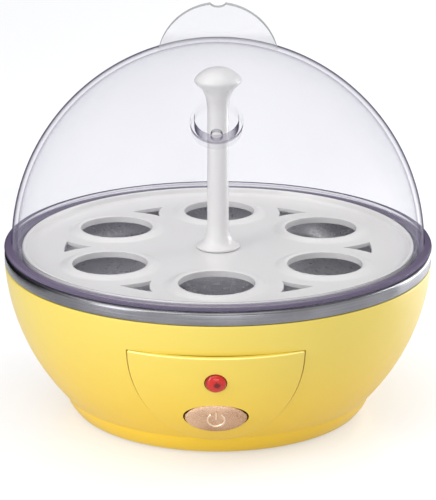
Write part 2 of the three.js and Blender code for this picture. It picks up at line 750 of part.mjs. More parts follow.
// Leads run loosely from terminal to terminal, in the room under the heater.
const lowZ = coverInsideZ + 6;
const bladeEnd = new THREE.Vector3(0, 0, switchBackZ - 5 - 1.4).applyMatrix4(buttonSeat.matrixWorld);
const lampEnd = new THREE.Vector3(0, 0, -15.4).applyMatrix4(lensSeat.matrixWorld);
const leads = {
  mains_lead: [
    [-spliceX, 14.5, spliceZ],
    [-spliceX, 6, lowZ],
    [-16, -22, lowZ + 2],
    [-2.5, bladeEnd.y + 6, bladeEnd.z - 1],
    [-2.5, bladeEnd.y, bladeEnd.z],
  ],
  switch_lead: [
    [2.5, bladeEnd.y, bladeEnd.z],
    [3, bladeEnd.y + 6, bladeEnd.z - 1],
    [14, -26, elementZ - 9],
    [14, -partOffset - 3, fuseZ - 8],
    [fuseLength / 2 + 4, -partOffset, fuseZ],
    [fuseLength / 2 + 1.4, -partOffset, fuseZ],
  ],
  fuse_lead: [
    [-fuseLength / 2 - 1.4, -partOffset, fuseZ],
    [-fuseLength / 2 - 4, -partOffset, fuseZ],
    [-16, -8.5, strapZ - 4],
    [-13, 10, strapZ - 5],
    [-5, partOffset + 4, heaterZ - 16],
    [-3.5, partOffset + 3, heaterZ - 13.4],
  ],
  thermostat_lead: [
    [3.5, partOffset + 3, heaterZ - 13.4],
    [6, partOffset + 6, heaterZ - 19],
    [elementEndX + 1, elementEndY - 1, elementEndZ - 10],
    [elementEndX, elementEndY, elementEndZ - 7.4],
  ],
  neutral_lead: [
    [spliceX, 14.5, spliceZ],
    [spliceX, 6, lowZ],
    [8, 6, lowZ + 4],
    [-elementEndX, elementEndY - 4, elementEndZ - 12],
    [-elementEndX, elementEndY, elementEndZ - 7.4],
  ],
  lamp_lead_1: [
    [-1, lampEnd.y, lampEnd.z],
    [-4, lampEnd.y + 8, lampEnd.z - 3],
    [-10, bladeEnd.y + 14, bladeEnd.z - 4],
    [-22, -18, lowZ + 6],
  ],
  lamp_lead_2: [
    [1, lampEnd.y, lampEnd.z],
    [4, lampEnd.y + 8, lampEnd.z - 3],
    [16, bladeEnd.y + 10, bladeEnd.z - 6],
    [28, -16, lowZ + 4],
    [spliceX + 4, 0, lowZ],
  ],
};
Object.entries(leads).forEach(([name, points]) => {
  add(name, 'insulation', tube(wireRadius, points, 10, 6));
});

// ---------------------------------------------------------------- egg rack

function steamSlot(angle) {
  const outer = trayRadius - slotToRim;
  const spread = radians(slotSector);
  const outline = new THREE.Shape();
  outline.moveTo(seatRing * Math.cos(Math.PI / eggCount), 0);
  outline.lineTo(outer * Math.cos(spread), -outer * Math.sin(spread));
  outline.absarc(0, 0, outer, -spread, spread, false);
  const form = { depth: 6 * deckThickness, bevelEnabled: false, curveSegments: 8 };
  return new THREE.ExtrudeGeometry(outline, form).rotateZ(angle).translate(0, 0, trayZ - 3);
}

function eggTray() {
  const deck = solid(spun([
    [postRadius, trayZ],
    [trayRadius, trayZ],
    [trayRadius, deckZ + deckRimRise],
    [trayRadius - deckRimWall, deckZ + deckRimRise],
    [trayRadius - deckRimWall - 1, deckZ],
    [postRadius, deckZ],
  ]));
  const collars = onRing(eggCount, seatRing, -90, (x, y) =>
    bar(seatRadius + collarWall, deckZ - 0.5, deckZ + collarRise, x, y, 20));
  const holes = onRing(eggCount, seatRing, -90, (x, y) => bar(seatRadius, trayZ - 3, deckZ + 9, x, y, 20));
  const webs = onRing(eggCount, seatRing, -90, (x, y) =>
    bar(seatRadius + slotToSeat, trayZ - 4, deckZ + 9, x, y, 48));
  const slots = cut(joined(...onRing(eggCount, seatRing, -60, (x, y, angle) => steamSlot(angle))), ...webs);
  return cut(deck.add(joined(...collars)).subtract(slots), ...holes);
}

add('egg_tray', 'white', eggTray());

// The post snaps through the middle of the rack: flange above the deck, barb below it.
const postTopZ = domeTopZ - lidWall - knobToDome;
const postSpigot = postRadius - gap;
const knobRimZ = postTopZ - knobHeight * 0.55;
add('lifting_post', 'white', spun([
  [0, trayZ - gap - 1.6],
  [postSpigot, trayZ - gap - 1.6],
  [postSpigot + 0.9, trayZ - gap - 0.6],
  [postSpigot + 0.9, trayZ - gap],
  [postSpigot, trayZ - gap],
  [postSpigot, deckZ + gap],
  [postFootRadius, deckZ + gap],
  [postFootRadius, deckZ + gap + 1.2],
  [postRadius + 1.5, deckZ + gap + 3],
  [postRadius, deckZ + gap + 9],
  [postRadius, postTopZ - knobHeight - 5],
  [postRadius + 1.6, postTopZ - knobHeight],
  [knobRadius - 0.8, knobRimZ - 1],
  [knobRadius, knobRimZ + 0.6],
  [knobRadius - 1.4, knobRimZ + 2.4],
  [knobRadius * 0.5, postTopZ - 0.7],
  [0, postTopZ],
], 24));

// ---------------------------------------------------------------- lid

function lidDome() {
  const innerBall = domeBall - lidWall;
  const flangeTopZ = lidZ + flangeHeight;
  const skirtInner = skirtRadius - skirtWall;
  const dome = solid(spun([
    [skirtInner, lidZ - skirtDepth],
    [skirtRadius, lidZ - skirtDepth],
    [skirtRadius, lidZ],
    [rimRadius - 0.6, lidZ],
    [rimRadius, lidZ + 0.6],
    [rimRadius, flangeTopZ - 0.6],
    [rimRadius - 0.6, flangeTopZ],
    ...arc(domeBall, lidZ, flangeTopZ, lidZ + domeBall, 10),
    ...arc(innerBall, lidZ, lidZ + innerBall, flangeTopZ, 10),
    [skirtInner, lidZ + 0.7],
  ]));
  const vent = new THREE.Group();
  vent.position.set(0, 0, lidZ);
  vent.rotation.x = radians(90 - ventLatitude);
  vent.updateMatrixWorld();
  const cupFloor = domeBall - ventDepth;
  const cup = solid(at(vent, bar(ventRadius, cupFloor - lidWall, domeBall - 1)));
  return cut(
    dome.add(cup),
    at(vent, bar(ventRadius - 1.6, cupFloor, domeBall + 5)),
    at(vent, bar(steamHoleRadius, cupFloor - 9, domeBall + 5, 0, -ventRadius * 0.36, 12)),
  );
}

add('lid_dome', 'clear', lidDome());

function lidHandle() {
  const gripZ = domeTopZ - gripSink;
  const disc = bar(gripRadius, -gripThickness / 2, gripThickness / 2, 0, 0, 40)
    .rotateX(Math.PI / 2)
    .translate(0, 0, gripZ);
  const hollowBall = 50;
  const hollowY = gripWaist / 2 + hollowBall;
  const hollowZ = gripZ + gripRadius * 0.55;
  const notch = new THREE.CylinderGeometry(notchDepth * 2, notchDepth * 2, gripThickness * 2, 4)
    .translate(0, 0, gripZ + gripRadius + notchDepth * 0.6);
  return cut(
    solid(disc),
    ball(domeBall + gap, lidZ),
    ball(hollowBall, hollowZ, -hollowY),
    ball(hollowBall, hollowZ, hollowY),
    notch,
  );
}

add('lid_handle', 'clear', lidHandle());

export default cooker;
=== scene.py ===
import json
from math import asin, cos, hypot, pi, radians, sin, sqrt

import bpy
from mathutils import Matrix, Vector


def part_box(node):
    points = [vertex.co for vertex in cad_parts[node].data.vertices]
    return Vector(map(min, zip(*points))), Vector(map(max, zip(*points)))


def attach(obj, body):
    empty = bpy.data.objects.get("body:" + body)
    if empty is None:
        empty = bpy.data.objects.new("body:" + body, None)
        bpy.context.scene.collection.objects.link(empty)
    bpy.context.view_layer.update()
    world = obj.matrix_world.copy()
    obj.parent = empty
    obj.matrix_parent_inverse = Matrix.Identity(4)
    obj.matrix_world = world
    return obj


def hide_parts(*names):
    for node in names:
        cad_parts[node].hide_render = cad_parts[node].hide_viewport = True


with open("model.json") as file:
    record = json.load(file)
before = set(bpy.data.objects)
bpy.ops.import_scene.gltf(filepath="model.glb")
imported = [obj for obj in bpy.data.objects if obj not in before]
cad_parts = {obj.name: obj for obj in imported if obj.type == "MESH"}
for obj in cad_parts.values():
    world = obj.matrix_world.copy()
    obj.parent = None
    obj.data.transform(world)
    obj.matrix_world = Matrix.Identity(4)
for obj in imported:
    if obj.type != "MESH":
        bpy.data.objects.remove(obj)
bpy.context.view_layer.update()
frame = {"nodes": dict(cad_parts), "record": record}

mm = 0.001


# ---------------------------------------------------------------- camera, table and studio light
# The cooker stands on a white table in a white room. A large soft box stands to its left, a strip and a low
# box to its right, and a weak one in front. A black card on the left darkens the steel and the dome's edge.

camera_distance = 0.900
camera_rise = radians(17.46)
camera_turn = radians(0.6)
camera_aim = Vector((0, 0, 0.0655))
camera_place = camera_aim + camera_distance * Vector((
    sin(camera_turn) * cos(camera_rise), -cos(camera_turn) * cos(camera_rise), sin(camera_rise)))
camera_data = bpy.data.cameras.new("camera")
camera_data.lens = 156.5
camera_data.sensor_width = 36
camera_data.clip_start = 0.01
camera = bpy.data.objects.new("camera", camera_data)
camera.location = camera_place
camera.rotation_euler = (camera_aim - camera_place).to_track_quat("-Z", "Y").to_euler()
bpy.context.scene.collection.objects.link(camera)
bpy.context.scene.camera = camera
bpy.context.scene.view_settings.view_transform = "Standard"


def soft_box(name, place, aim, width, height, watts):
    data = bpy.data.lights.new(name, "AREA")
    data.shape = "RECTANGLE"
    data.size = width
    data.size_y = height
    data.energy = watts
    box = bpy.data.objects.new(name, data)
    box.location = place
    box.rotation_euler = (Vector(aim) - Vector(place)).to_track_quat("-Z", "Y").to_euler()
    box.visible_camera = False
    bpy.context.scene.collection.objects.link(box)


soft_box("left_box", (-0.80, -0.62, 0.42), (0, 0, 0.06), 0.40, 0.9, 4.6)
soft_box("right_strip", (0.85, 0.35, 0.30), (0, 0, 0.06), 0.20, 0.8, 3.0)
soft_box("right_low", (0.30, 0.20, 0.07), (0, 0, 0.05), 0.26, 0.13, 0.42)
soft_box("front_fill", (0.05, -0.90, 0.12), (0, 0, 0.03), 0.60, 0.20, 1.1)

sun_data = bpy.data.lights.new("sun", "SUN")
sun_data.energy = 1.75
sun_data.angle = radians(75)
sun = bpy.data.objects.new("sun", sun_data)
sun.rotation_euler = Vector((0.30, 0.15, -1.0)).to_track_quat("-Z", "Y").to_euler()
bpy.context.scene.collection.objects.link(sun)

# The room is white overhead and to the right, with a dark flag behind the cooker to the left. The flag only
# shows in reflections: looked at directly, the room is white.
room = bpy.data.worlds.new("room")
room.use_nodes = True
backdrop = room.node_tree.nodes["Background"]
sky = room.node_tree.nodes.new("ShaderNodeTexCoord")
flag = room.node_tree.nodes.new("ShaderNodeVectorMath")
flag.operation = "DOT_PRODUCT"
flag.inputs[1].default_value = (-0.70, 0.70, 0.10)
flag_edge = room.node_tree.nodes.new("ShaderNodeMapRange")
flag_edge.interpolation_type = "SMOOTHSTEP"
for index, value in ((1, 0.45), (2, 0.95), (3, 0.70), (4, 0.10)):
    flag_edge.inputs[index].default_value = value
room.node_tree.links.new(sky.outputs["Generated"], flag.inputs[0])
room.node_tree.links.new(flag.outputs["Value"], flag_edge.inputs[0])
looked_at = room.node_tree.nodes.new("ShaderNodeLightPath")
wall = room.node_tree.nodes.new("ShaderNodeMath")
wall.operation = "MAXIMUM"
room.node_tree.links.new(flag_edge.outputs[0], wall.inputs[0])
room.node_tree.links.new(looked_at.outputs["Is Camera Ray"], wall.inputs[1])
room.node_tree.links.new(wall.outputs[0], backdrop.inputs["Strength"])
backdrop.inputs["Color"].default_value = (1, 1, 1, 1)
bpy.context.scene.world = room


def finish_nodes(name):
    """A new finish: its material, its shader and a maker of nodes with their settings and inputs."""
    finish = bpy.data.materials.new(name)
    finish.use_nodes = True
    tree = finish.node_tree
    shader = tree.nodes["Principled BSDF"]

    def node(kind, settings=(), **inputs):
        made = tree.nodes.new(kind)
        for key, value in dict(settings).items():
            setattr(made, key, value)
        for key, value in inputs.items():
            socket = made.inputs[int(key[1:])] if key[0] == "i" and key[1:].isdigit() else made.inputs[key]
            if isinstance(value, bpy.types.NodeSocket):
                tree.links.new(value, socket)
            else:
                socket.default_value = value
        return made

    return finish, shader, node, tree


def link(tree, socket_from, socket_to):
    tree.links.new(socket_from, socket_to)


bpy.ops.object.select_all(action="DESELECT")
bpy.ops.mesh.primitive_plane_add(size=30, location=(0, 0, 0))
table = bpy.context.object
table.name = "table"
table_finish, table_shader, node, tree = finish_nodes("table_white")
table_grain = node("ShaderNodeTexNoise", Scale=9.0, Detail=3.0)
table_tone = node("ShaderNodeMix", {"data_type": "RGBA"}, Factor=table_grain.outputs["Fac"],
                  i6=(0.46, 0.465, 0.50, 1), i7=(0.48, 0.485, 0.52, 1))
link(tree, table_tone.outputs[2], table_shader.inputs["Base Color"])
table_shader.inputs["Roughness"].default_value = 0.25
table_shader.inputs["Emission Color"].default_value = (1, 1, 1, 1)
seen = node("ShaderNodeLightPath").outputs["Is Camera Ray"]
lift = node("ShaderNodeMath", {"operation": "MULTIPLY_ADD"}, i0=seen, i1=0.24, i2=0.23)
link(tree, lift.outputs[0], table_shader.inputs["Emission Strength"])
table_shader.inputs["Specular IOR Level"].default_value = 0.3
table.data.materials.append(table_finish)

bpy.ops.object.select_all(action="DESELECT")
bpy.ops.mesh.primitive_plane_add(size=1, location=(-0.20, 0.16, 0.10),
                                 rotation=(0, radians(90), radians(-25)))
black_card = bpy.context.object
black_card.name = "black_card"
black_card.scale = (0.22, 0.40, 1)
card_finish, card_shader = finish_nodes("card_black")[:2]
card_shader.inputs["Base Color"].default_value = (0.01, 0.01, 0.012, 1)
card_shader.inputs["Specular IOR Level"].default_value = 0.0
black_card.data.materials.append(card_finish)
black_card.visible_camera = False
black_card.visible_diffuse = False
black_card.visible_shadow = False


# ---------------------------------------------------------------- bottom cover
# The lower yellow shell, moulded in one shot with the foot ring that the cooker stands on. Its short
# upright wall plugs into the bowl. The floor has cooling slots and holes for three screws and four feet.

def draw_outline(name, start, moves):
    """A line drawn with one vertex in the XZ plane: extruded to a point, or swung round a ball's centre."""
    bpy.ops.object.select_all(action="DESELECT")
    bpy.ops.mesh.primitive_plane_add(size=mm, location=(0, 0, 0))
    piece = bpy.context.object
    piece.name = name
    bpy.ops.object.mode_set(mode="EDIT")
    bpy.ops.mesh.select_mode(type="VERT")
    bpy.ops.mesh.merge(type="CENTER")
    bpy.ops.transform.translate(value=(start[0], 0, start[1]))
    r, z = start
    for move in moves:
        if move[0] == "to":
            step = (move[1] - r, 0, move[2] - z)
            bpy.ops.mesh.extrude_vertices_move(TRANSFORM_OT_translate={"value": step})
            r, z = move[1], move[2]
        else:
            _, centre_r, centre_z, turn, steps = move
            bpy.ops.mesh.spin(steps=steps, angle=turn, center=(centre_r, 0, centre_z), axis=(0, 1, 0))
            dr, dz = r - centre_r, z - centre_z
            r = centre_r + dr * cos(turn) - dz * sin(turn)
            z = centre_z + dr * sin(turn) + dz * cos(turn)
    return piece


def turned(name, start, moves, steps=128, soften=0.0003, smooth=35):
    """A round piece: its outline spun about Z, doubles merged, corners bevelled and shaded smooth."""
    piece = draw_outline(name, start, moves)
    bpy.ops.mesh.select_all(action="SELECT")
    bpy.ops.mesh.spin(steps=steps, angle=2 * pi, center=(0, 0, 0), axis=(0, 0, 1))
    bpy.ops.mesh.select_all(action="SELECT")
    bpy.ops.mesh.remove_doubles(threshold=0.00001)
    bpy.ops.mesh.dissolve_degenerate(threshold=0.000005)
    bpy.ops.mesh.select_all(action="SELECT")
    bpy.ops.mesh.normals_make_consistent(inside=False)
    bpy.ops.mesh.select_all(action="DESELECT")
    if soften:
        bpy.ops.mesh.select_mode(type="EDGE")
        bpy.ops.mesh.edges_select_sharp(sharpness=radians(32))
        bpy.ops.mesh.bevel(offset=soften, segments=3, affect="EDGES")
        bpy.ops.mesh.select_all(action="DESELECT")
    bpy.ops.object.mode_set(mode="OBJECT")
    shade(piece, smooth)
    return piece


def shade(piece, angle=35):
    bpy.ops.object.select_all(action="DESELECT")
    piece.select_set(True)
    bpy.context.view_layer.objects.active = piece
    bpy.ops.object.shade_smooth_by_angle(angle=radians(angle))


def apply_place(piece):
    bpy.ops.object.select_all(action="DESELECT")
    piece.select_set(True)
    bpy.context.view_layer.objects.active = piece
    bpy.ops.object.transform_apply(location=True, rotation=True, scale=True)


def carve(piece, tools, kind="DIFFERENCE"):
    """Cuts the tools out of a piece, or joins them on, and removes the tools."""
    for tool in tools:
        bpy.ops.object.select_all(action="DESELECT")
        bpy.context.view_layer.objects.active = piece
        piece.select_set(True)
        cut = piece.modifiers.new("cut", "BOOLEAN")
        cut.operation = kind
        cut.object = tool
        cut.solver = "EXACT"
        bpy.ops.object.modifier_apply(modifier=cut.name)
        bpy.data.objects.remove(tool)


def rod(radius, bottom, top, x=0.0, y=0.0, sides=48, place=None):
    """A round bar along Z, or along a seat's own axis when a place is given."""
    bpy.ops.object.select_all(action="DESELECT")
    bpy.ops.mesh.primitive_cylinder_add(vertices=sides, radius=radius, depth=top - bottom,
                                        location=(x, y, (top + bottom) / 2))
    made = bpy.context.object
    apply_place(made)
    if place is not None:
        made.data.transform(place)
    return made


def slab(width, depth, bottom, top, x=0.0, y=0.0):
    bpy.ops.object.select_all(action="DESELECT")
    bpy.ops.mesh.primitive_cube_add(size=1, location=(x, y, (top + bottom) / 2),
                                    scale=(width, depth, top - bottom))
    made = bpy.context.object
    apply_place(made)
    return made


def ball_at(ball, centre, z):
    return sqrt(ball ** 2 - (z - centre) ** 2)


cover_lo, cover_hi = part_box("bottom_cover")
ring_foot_z = cover_lo.z
ring_top_z = cover_hi.z - 4 * mm
ring_top_r = cover_hi.x
ring_foot_r = ring_top_r - 4.3 * mm
cover_floor_z = ring_foot_z + 2 * mm
cover_inside_z = cover_floor_z + 2 * mm
spigot_r = ring_top_r - 4.4 * mm

bottom_cover = turned("cover_shell", (0, cover_floor_z), [
    ("to", ring_foot_r - 5 * mm, cover_floor_z),
    ("to", ring_foot_r - 4 * mm, ring_foot_z),
    ("to", ring_foot_r - 0.3 * mm, ring_foot_z),
    ("to", ring_foot_r + 1.9 * mm, ring_foot_z + 3.0 * mm),
    ("to", ring_top_r - 0.2 * mm, ring_top_z - 0.8 * mm),
    ("to", ring_top_r - 0.2 * mm, ring_top_z),
    ("to", spigot_r, ring_top_z),
    ("to", spigot_r, cover_hi.z),
    ("to", spigot_r - 1.7 * mm, cover_hi.z),
    ("to", spigot_r - 1.7 * mm, cover_inside_z),
    ("to", 0, cover_inside_z),
], steps=160)


def centre_of(node_name):
    low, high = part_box(node_name)
    return (low + high) / 2


clamp_screws = [centre_of(f"clamp_screw_{i}") for i in (1, 2)]
carve(bottom_cover, [rod(3.2 * mm, cover_inside_z - mm, cover_inside_z + 9 * mm, p.x, p.y)
                     for p in clamp_screws], "UNION")
feet = [centre_of(f"rubber_foot_{i}") for i in (1, 2, 3, 4)]
cover_screws = [centre_of(f"cover_screw_{i}") for i in (1, 2, 3)]
carve(bottom_cover,
      [rod(1.6 * mm, cover_inside_z, cover_inside_z + 12 * mm, p.x, p.y, 24) for p in clamp_screws]
      + [rod(2.2 * mm, 0, ring_top_z, p.x, p.y, 32) for p in feet]
      + [rod(1.9 * mm, 0, ring_top_z, p.x, p.y, 32) for p in cover_screws]
      + [slab(3 * mm, (26 - 4 * abs(i)) * mm, 0, ring_top_z, 8 * mm * i, 0) for i in (-2, -1, 0, 1, 2)])
shade(bottom_cover)


def moulded_plastic(name, light, dark, roughness, coat=0.4, grain=0.00004):
    """Moulded plastic: faint clouds of colour from the pigment, a fine grain, and a gloss that varies."""
    finish, shader, node, tree = finish_nodes(name)
    place = node("ShaderNodeTexCoord").outputs["Object"]
    cloud = node("ShaderNodeTexNoise", Vector=place, Scale=26.0, Detail=3.0, Roughness=0.55)
    fleck = node("ShaderNodeTexNoise", Vector=place, Scale=1400.0, Detail=2.0)
    speck = node("ShaderNodeMath", {"operation": "MULTIPLY_ADD"}, i0=fleck.outputs["Fac"], i1=0.25, i2=-0.12)
    mix = node("ShaderNodeMath", {"operation": "ADD", "use_clamp": True},
               i0=cloud.outputs["Fac"], i1=speck.outputs[0])
    tone = node("ShaderNodeMix", {"data_type": "RGBA"}, Factor=mix.outputs[0],
                i6=(*light, 1), i7=(*dark, 1))
    link(tree, tone.outputs[2], shader.inputs["Base Color"])
    wear = node("ShaderNodeTexNoise", Vector=place, Scale=160.0, Detail=4.0)
    gloss = node("ShaderNodeMapRange", Value=wear.outputs["Fac"], i3=roughness * 0.85, i4=roughness * 1.2)
    link(tree, gloss.outputs[0], shader.inputs["Roughness"])
    skin = node("ShaderNodeTexNoise", Vector=place, Scale=2200.0, Detail=2.0)
    bump = node("ShaderNodeBump", Strength=0.25, Distance=grain, Height=skin.outputs["Fac"])
    link(tree, bump.outputs[0], shader.inputs["Normal"])
    shader.inputs["Coat Weight"].default_value = coat
    shader.inputs["Coat Roughness"].default_value = 0.12
    return finish


# The yellow is painted more saturated and warmer towards the foot, as painted shade on the lower bowl that
# faces down.
yellow_gloss = moulded_plastic("yellow_gloss", (0.77, 0.61, 0.100), (0.74, 0.565, 0.075), 0.34, 0.25)
yellow_tree = yellow_gloss.node_tree
height = yellow_tree.nodes.new("ShaderNodeSeparateXYZ")
shade_fade = yellow_tree.nodes.new("ShaderNodeMapRange")
shade_fade.interpolation_type = "SMOOTHSTEP"
for index, value in ((1, 4 * mm), (2, 62 * mm), (3, 1.0), (4, 0.0)):
    shade_fade.inputs[index].default_value = value
foot_painted_shade = yellow_tree.nodes.new("ShaderNodeMix")
foot_painted_shade.data_type = "RGBA"
foot_painted_shade.inputs[7].default_value = (0.88, 0.57, 0.012, 1)
yellow_shader = yellow_tree.nodes["Principled BSDF"]
yellow_shader.inputs["Coat Weight"].default_value = 0.5
yellow_shader.inputs["Coat Roughness"].default_value = 0.5
yellow_shader.inputs["Coat IOR"].default_value = 1.65
for socket_from, socket_to in (
        (yellow_tree.nodes["Texture Coordinate"].outputs["Object"], height.inputs[0]),
        (height.outputs["Z"], shade_fade.inputs[0]),
        (shade_fade.outputs[0], foot_painted_shade.inputs[0]),
        (yellow_shader.inputs["Base Color"].links[0].from_socket, foot_painted_shade.inputs[6]),
        (foot_painted_shade.outputs[2], yellow_shader.inputs["Base Color"])):
    yellow_tree.links.new(socket_from, socket_to)


def dress(piece, finish, body, slot, *nodes):
    """Gives a finished piece its material, its body and the nodes that it stands for; the slot is not used.
    """
    piece.data.materials.clear()
    piece.data.materials.append(finish)
    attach(piece, body)
    if nodes:
        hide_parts(*nodes)


dress(bottom_cover, yellow_gloss, "base", "yellow_plastic", "bottom_cover")


# ---------------------------------------------------------------- rubber feet and cover screws
# Four soft black feet are pulled through the floor by a barbed stem. Three zinc-plated pan-head screws
# with a cross slot hold the cover up against the bowl.

rubber_black = moulded_plastic("rubber_black", (0.030, 0.030, 0.032), (0.018, 0.018, 0.020), 0.75, 0.0,
                               0.0002)


def copy_of(piece, name, x, y):
    double = piece.copy()
    double.data = piece.data.copy()
    double.name = name
    bpy.context.scene.collection.objects.link(double)
    double.data.transform(Matrix.Translation((x, y, 0)))
    return double


foot_top_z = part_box("rubber_foot_1")[1].z
foot_pattern = turned("foot_pattern", (0, 0.5 * mm), [
    ("to", 3.2 * mm, 0.5 * mm),
    ("to", 3.9 * mm, 0),
    ("to", 5.3 * mm, 0),
    ("to", 6.0 * mm, 0.8 * mm),
    ("to", 5.8 * mm, cover_floor_z - 0.3 * mm),
    ("to", 1.9 * mm, cover_floor_z - 0.3 * mm),
    ("to", 1.9 * mm, cover_inside_z + 0.3 * mm),
    ("to", 2.9 * mm, cover_inside_z + 0.3 * mm),
    ("to", 1.6 * mm, foot_top_z),
    ("to", 0, foot_top_z),
], steps=48, soften=0.15 * mm)
for number, spot in enumerate(feet, 1):
    dress(copy_of(foot_pattern, f"foot_{number}", spot.x, spot.y), rubber_black, "base", "rubber",
          f"rubber_foot_{number}")
bpy.data.objects.remove(foot_pattern)


def metal(name, light, dark, roughness, streaks=(90, 90, 90), grain=0.00002):
    """Bare or plated metal: streaks from rolling or turning carry the colour, gloss and a fine relief."""
    finish, shader, node, tree = finish_nodes(name)
    place = node("ShaderNodeTexCoord").outputs["Object"]
    drawn = node("ShaderNodeMapping", Vector=place, Scale=streaks)
    lines = node("ShaderNodeTexNoise", Vector=drawn.outputs[0], Scale=10.0, Detail=5.0, Roughness=0.65)
    stain = node("ShaderNodeTexNoise", Vector=place, Scale=45.0, Detail=3.0)
    both = node("ShaderNodeMath", {"operation": "MULTIPLY"},
                i0=lines.outputs["Fac"], i1=stain.outputs["Fac"])
    share = node("ShaderNodeMapRange", Value=both.outputs[0], i1=0.1, i2=0.42)
    tone = node("ShaderNodeMix", {"data_type": "RGBA"}, Factor=share.outputs[0],
                i6=(*light, 1), i7=(*dark, 1))
    link(tree, tone.outputs[2], shader.inputs["Base Color"])
    gloss = node("ShaderNodeMapRange", Value=lines.outputs["Fac"], i1=0.3, i2=0.7,
                 i3=roughness * 0.75, i4=roughness * 1.3)
    link(tree, gloss.outputs[0], shader.inputs["Roughness"])
    bump = node("ShaderNodeBump", Strength=0.4, Distance=grain, Height=lines.outputs["Fac"])
    link(tree, bump.outputs[0], shader.inputs["Normal"])
    shader.inputs["Metallic"].default_value = 1.0
    return finish


zinc_plate = metal("zinc_plate", (0.62, 0.62, 0.60), (0.42, 0.42, 0.40), 0.35)

head_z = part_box("cover_screw_1")[0].z
screw_pattern = turned("screw_pattern", (0, head_z), [
    ("to", 1.9 * mm, head_z + 0.1 * mm),
    ("to", 2.8 * mm, head_z + 0.5 * mm),
    ("to", 3.2 * mm, head_z + 1.1 * mm),
    ("to", 3.2 * mm, head_z + 1.6 * mm),
    ("to", 1.5 * mm, head_z + 1.6 * mm),
    ("to", 1.5 * mm, head_z + 13.0 * mm),
    ("to", 0, head_z + 14.6 * mm),
], steps=48, soften=0.12 * mm)
carve(screw_pattern, [slab(3.4 * mm, 0.7 * mm, head_z - mm, head_z + 0.9 * mm),
                      slab(0.7 * mm, 3.4 * mm, head_z - mm, head_z + 0.9 * mm)])
shade(screw_pattern)
for number, spot in enumerate(cover_screws, 1):
    dress(copy_of(screw_pattern, f"base_screw_{number}", spot.x, spot.y), zinc_plate, "base", "zinc_steel",
          f"cover_screw_{number}")
bpy.data.objects.remove(screw_pattern)


# ---------------------------------------------------------------- bowl housing
# The yellow bowl, a part of a ball with an even wall. Its lip stands up inside the steel rim, an inner
# flange carries the seal, and a shallow seat in its front takes the control panel.

bowl_lo, bowl_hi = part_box("bowl_housing")
rim_r = bowl_hi.x
bowl_bottom_z = bowl_lo.z
lip_top_z = bowl_hi.z
bowl_top_z = lip_top_z - 3.9 * mm
centre_rise = 5.1 * mm
bowl_centre_z = bowl_top_z + centre_rise
bowl_wall = 2.4 * mm
bowl_ball = hypot(rim_r, centre_rise)
bowl_edge_r = ball_at(bowl_ball, bowl_centre_z, bowl_top_z)
bowl_foot_r = ball_at(bowl_ball, bowl_centre_z, bowl_bottom_z)
flange_z = bowl_top_z - 0.8 * mm
inner_ball = bowl_ball - bowl_wall
seal_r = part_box("rim_seal")[1].x - 3.7 * mm
low_angle = asin((bowl_bottom_z - bowl_centre_z) / bowl_ball)
high_angle = asin((bowl_top_z - bowl_centre_z) / bowl_ball)
inner_top_z = flange_z - 2 * mm
inner_top_r = ball_at(inner_ball, bowl_centre_z, inner_top_z)
inner_high = asin((inner_top_z - bowl_centre_z) / inner_ball)
inner_low = asin((bowl_bottom_z - bowl_centre_z) / inner_ball)

bowl = turned("bowl_shell", (bowl_foot_r, bowl_bottom_z), [
    ("swing", 0, bowl_centre_z, high_angle - low_angle, 48),
    ("to", bowl_edge_r - 1.4 * mm, bowl_top_z),
    ("to", bowl_edge_r - 1.4 * mm, lip_top_z),
    ("to", bowl_edge_r - 3.4 * mm, lip_top_z),
    ("to", bowl_edge_r - 3.4 * mm, flange_z),
    ("to", seal_r - mm, flange_z),
    ("to", seal_r - mm, inner_top_z),
    ("to", inner_top_r, inner_top_z),
    ("swing", 0, bowl_centre_z, inner_low - inner_high, 40),
    ("to", bowl_foot_r, bowl_bottom_z),
], steps=192, soften=0.25 * mm)


# The panel's outside is part of a tighter ball than the bowl's. It stands proud most at its upper edge.
panel_proud_top = 2.56 * mm
panel_proud_foot = 1.1 * mm
panel_lo, panel_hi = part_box("control_panel")
panel_half = panel_hi.x
panel_top_z = panel_hi.z
panel_foot_z = panel_lo.z
panel_tall = panel_top_z - panel_foot_z
panel_tighter = 16.45 * mm
panel_ball = bowl_ball - panel_tighter
top_point = Vector((ball_at(bowl_ball, bowl_centre_z, panel_top_z) + panel_proud_top, panel_top_z))
foot_point = Vector((ball_at(bowl_ball, bowl_centre_z, panel_foot_z) + panel_proud_foot, panel_foot_z))
chord = top_point - foot_point
inward = Vector((-chord.y, chord.x)).normalized()
panel_centre = (top_point + foot_point) / 2 + inward * sqrt(panel_ball ** 2 - chord.length_squared / 4)
panel_y, panel_z = -panel_centre.x, panel_centre.y


def panel_surface(x, z):
    """Y of the panel's outside."""
    return panel_y - sqrt(panel_ball ** 2 - x ** 2 - (z - panel_z) ** 2)


def seat_place(y, z, pitch):
    """A place whose own Z axis points out of the front, pitched downwards."""
    return Matrix.Translation((0, y, z)) @ Matrix.Rotation(pi / 2 + pitch, 4, "X")


button_half = 12.1 * mm
button_tall = 7.35 * mm
button_pitch = radians(22)
lens_r = 4.1 * mm
button_rise = button_tall * cos(button_pitch)
panel_spacing = (panel_tall - 2 * lens_r - 2 * button_rise) / 3
lens_z = panel_top_z - panel_spacing - lens_r
button_z = panel_foot_z + panel_spacing + button_rise
lens_place = seat_place(panel_surface(0, lens_z), lens_z, asin((panel_z - lens_z) / panel_ball))
button_place = seat_place(panel_surface(0, button_z), button_z, button_pitch)


def oval_bar(half_width, half_height, bottom, top, sides=96):
    bar = rod(1, bottom, top, sides=sides)
    bar.data.transform(Matrix.Diagonal((half_width, half_height, 1, 1)))
    bar.data.transform(button_place)
    return bar


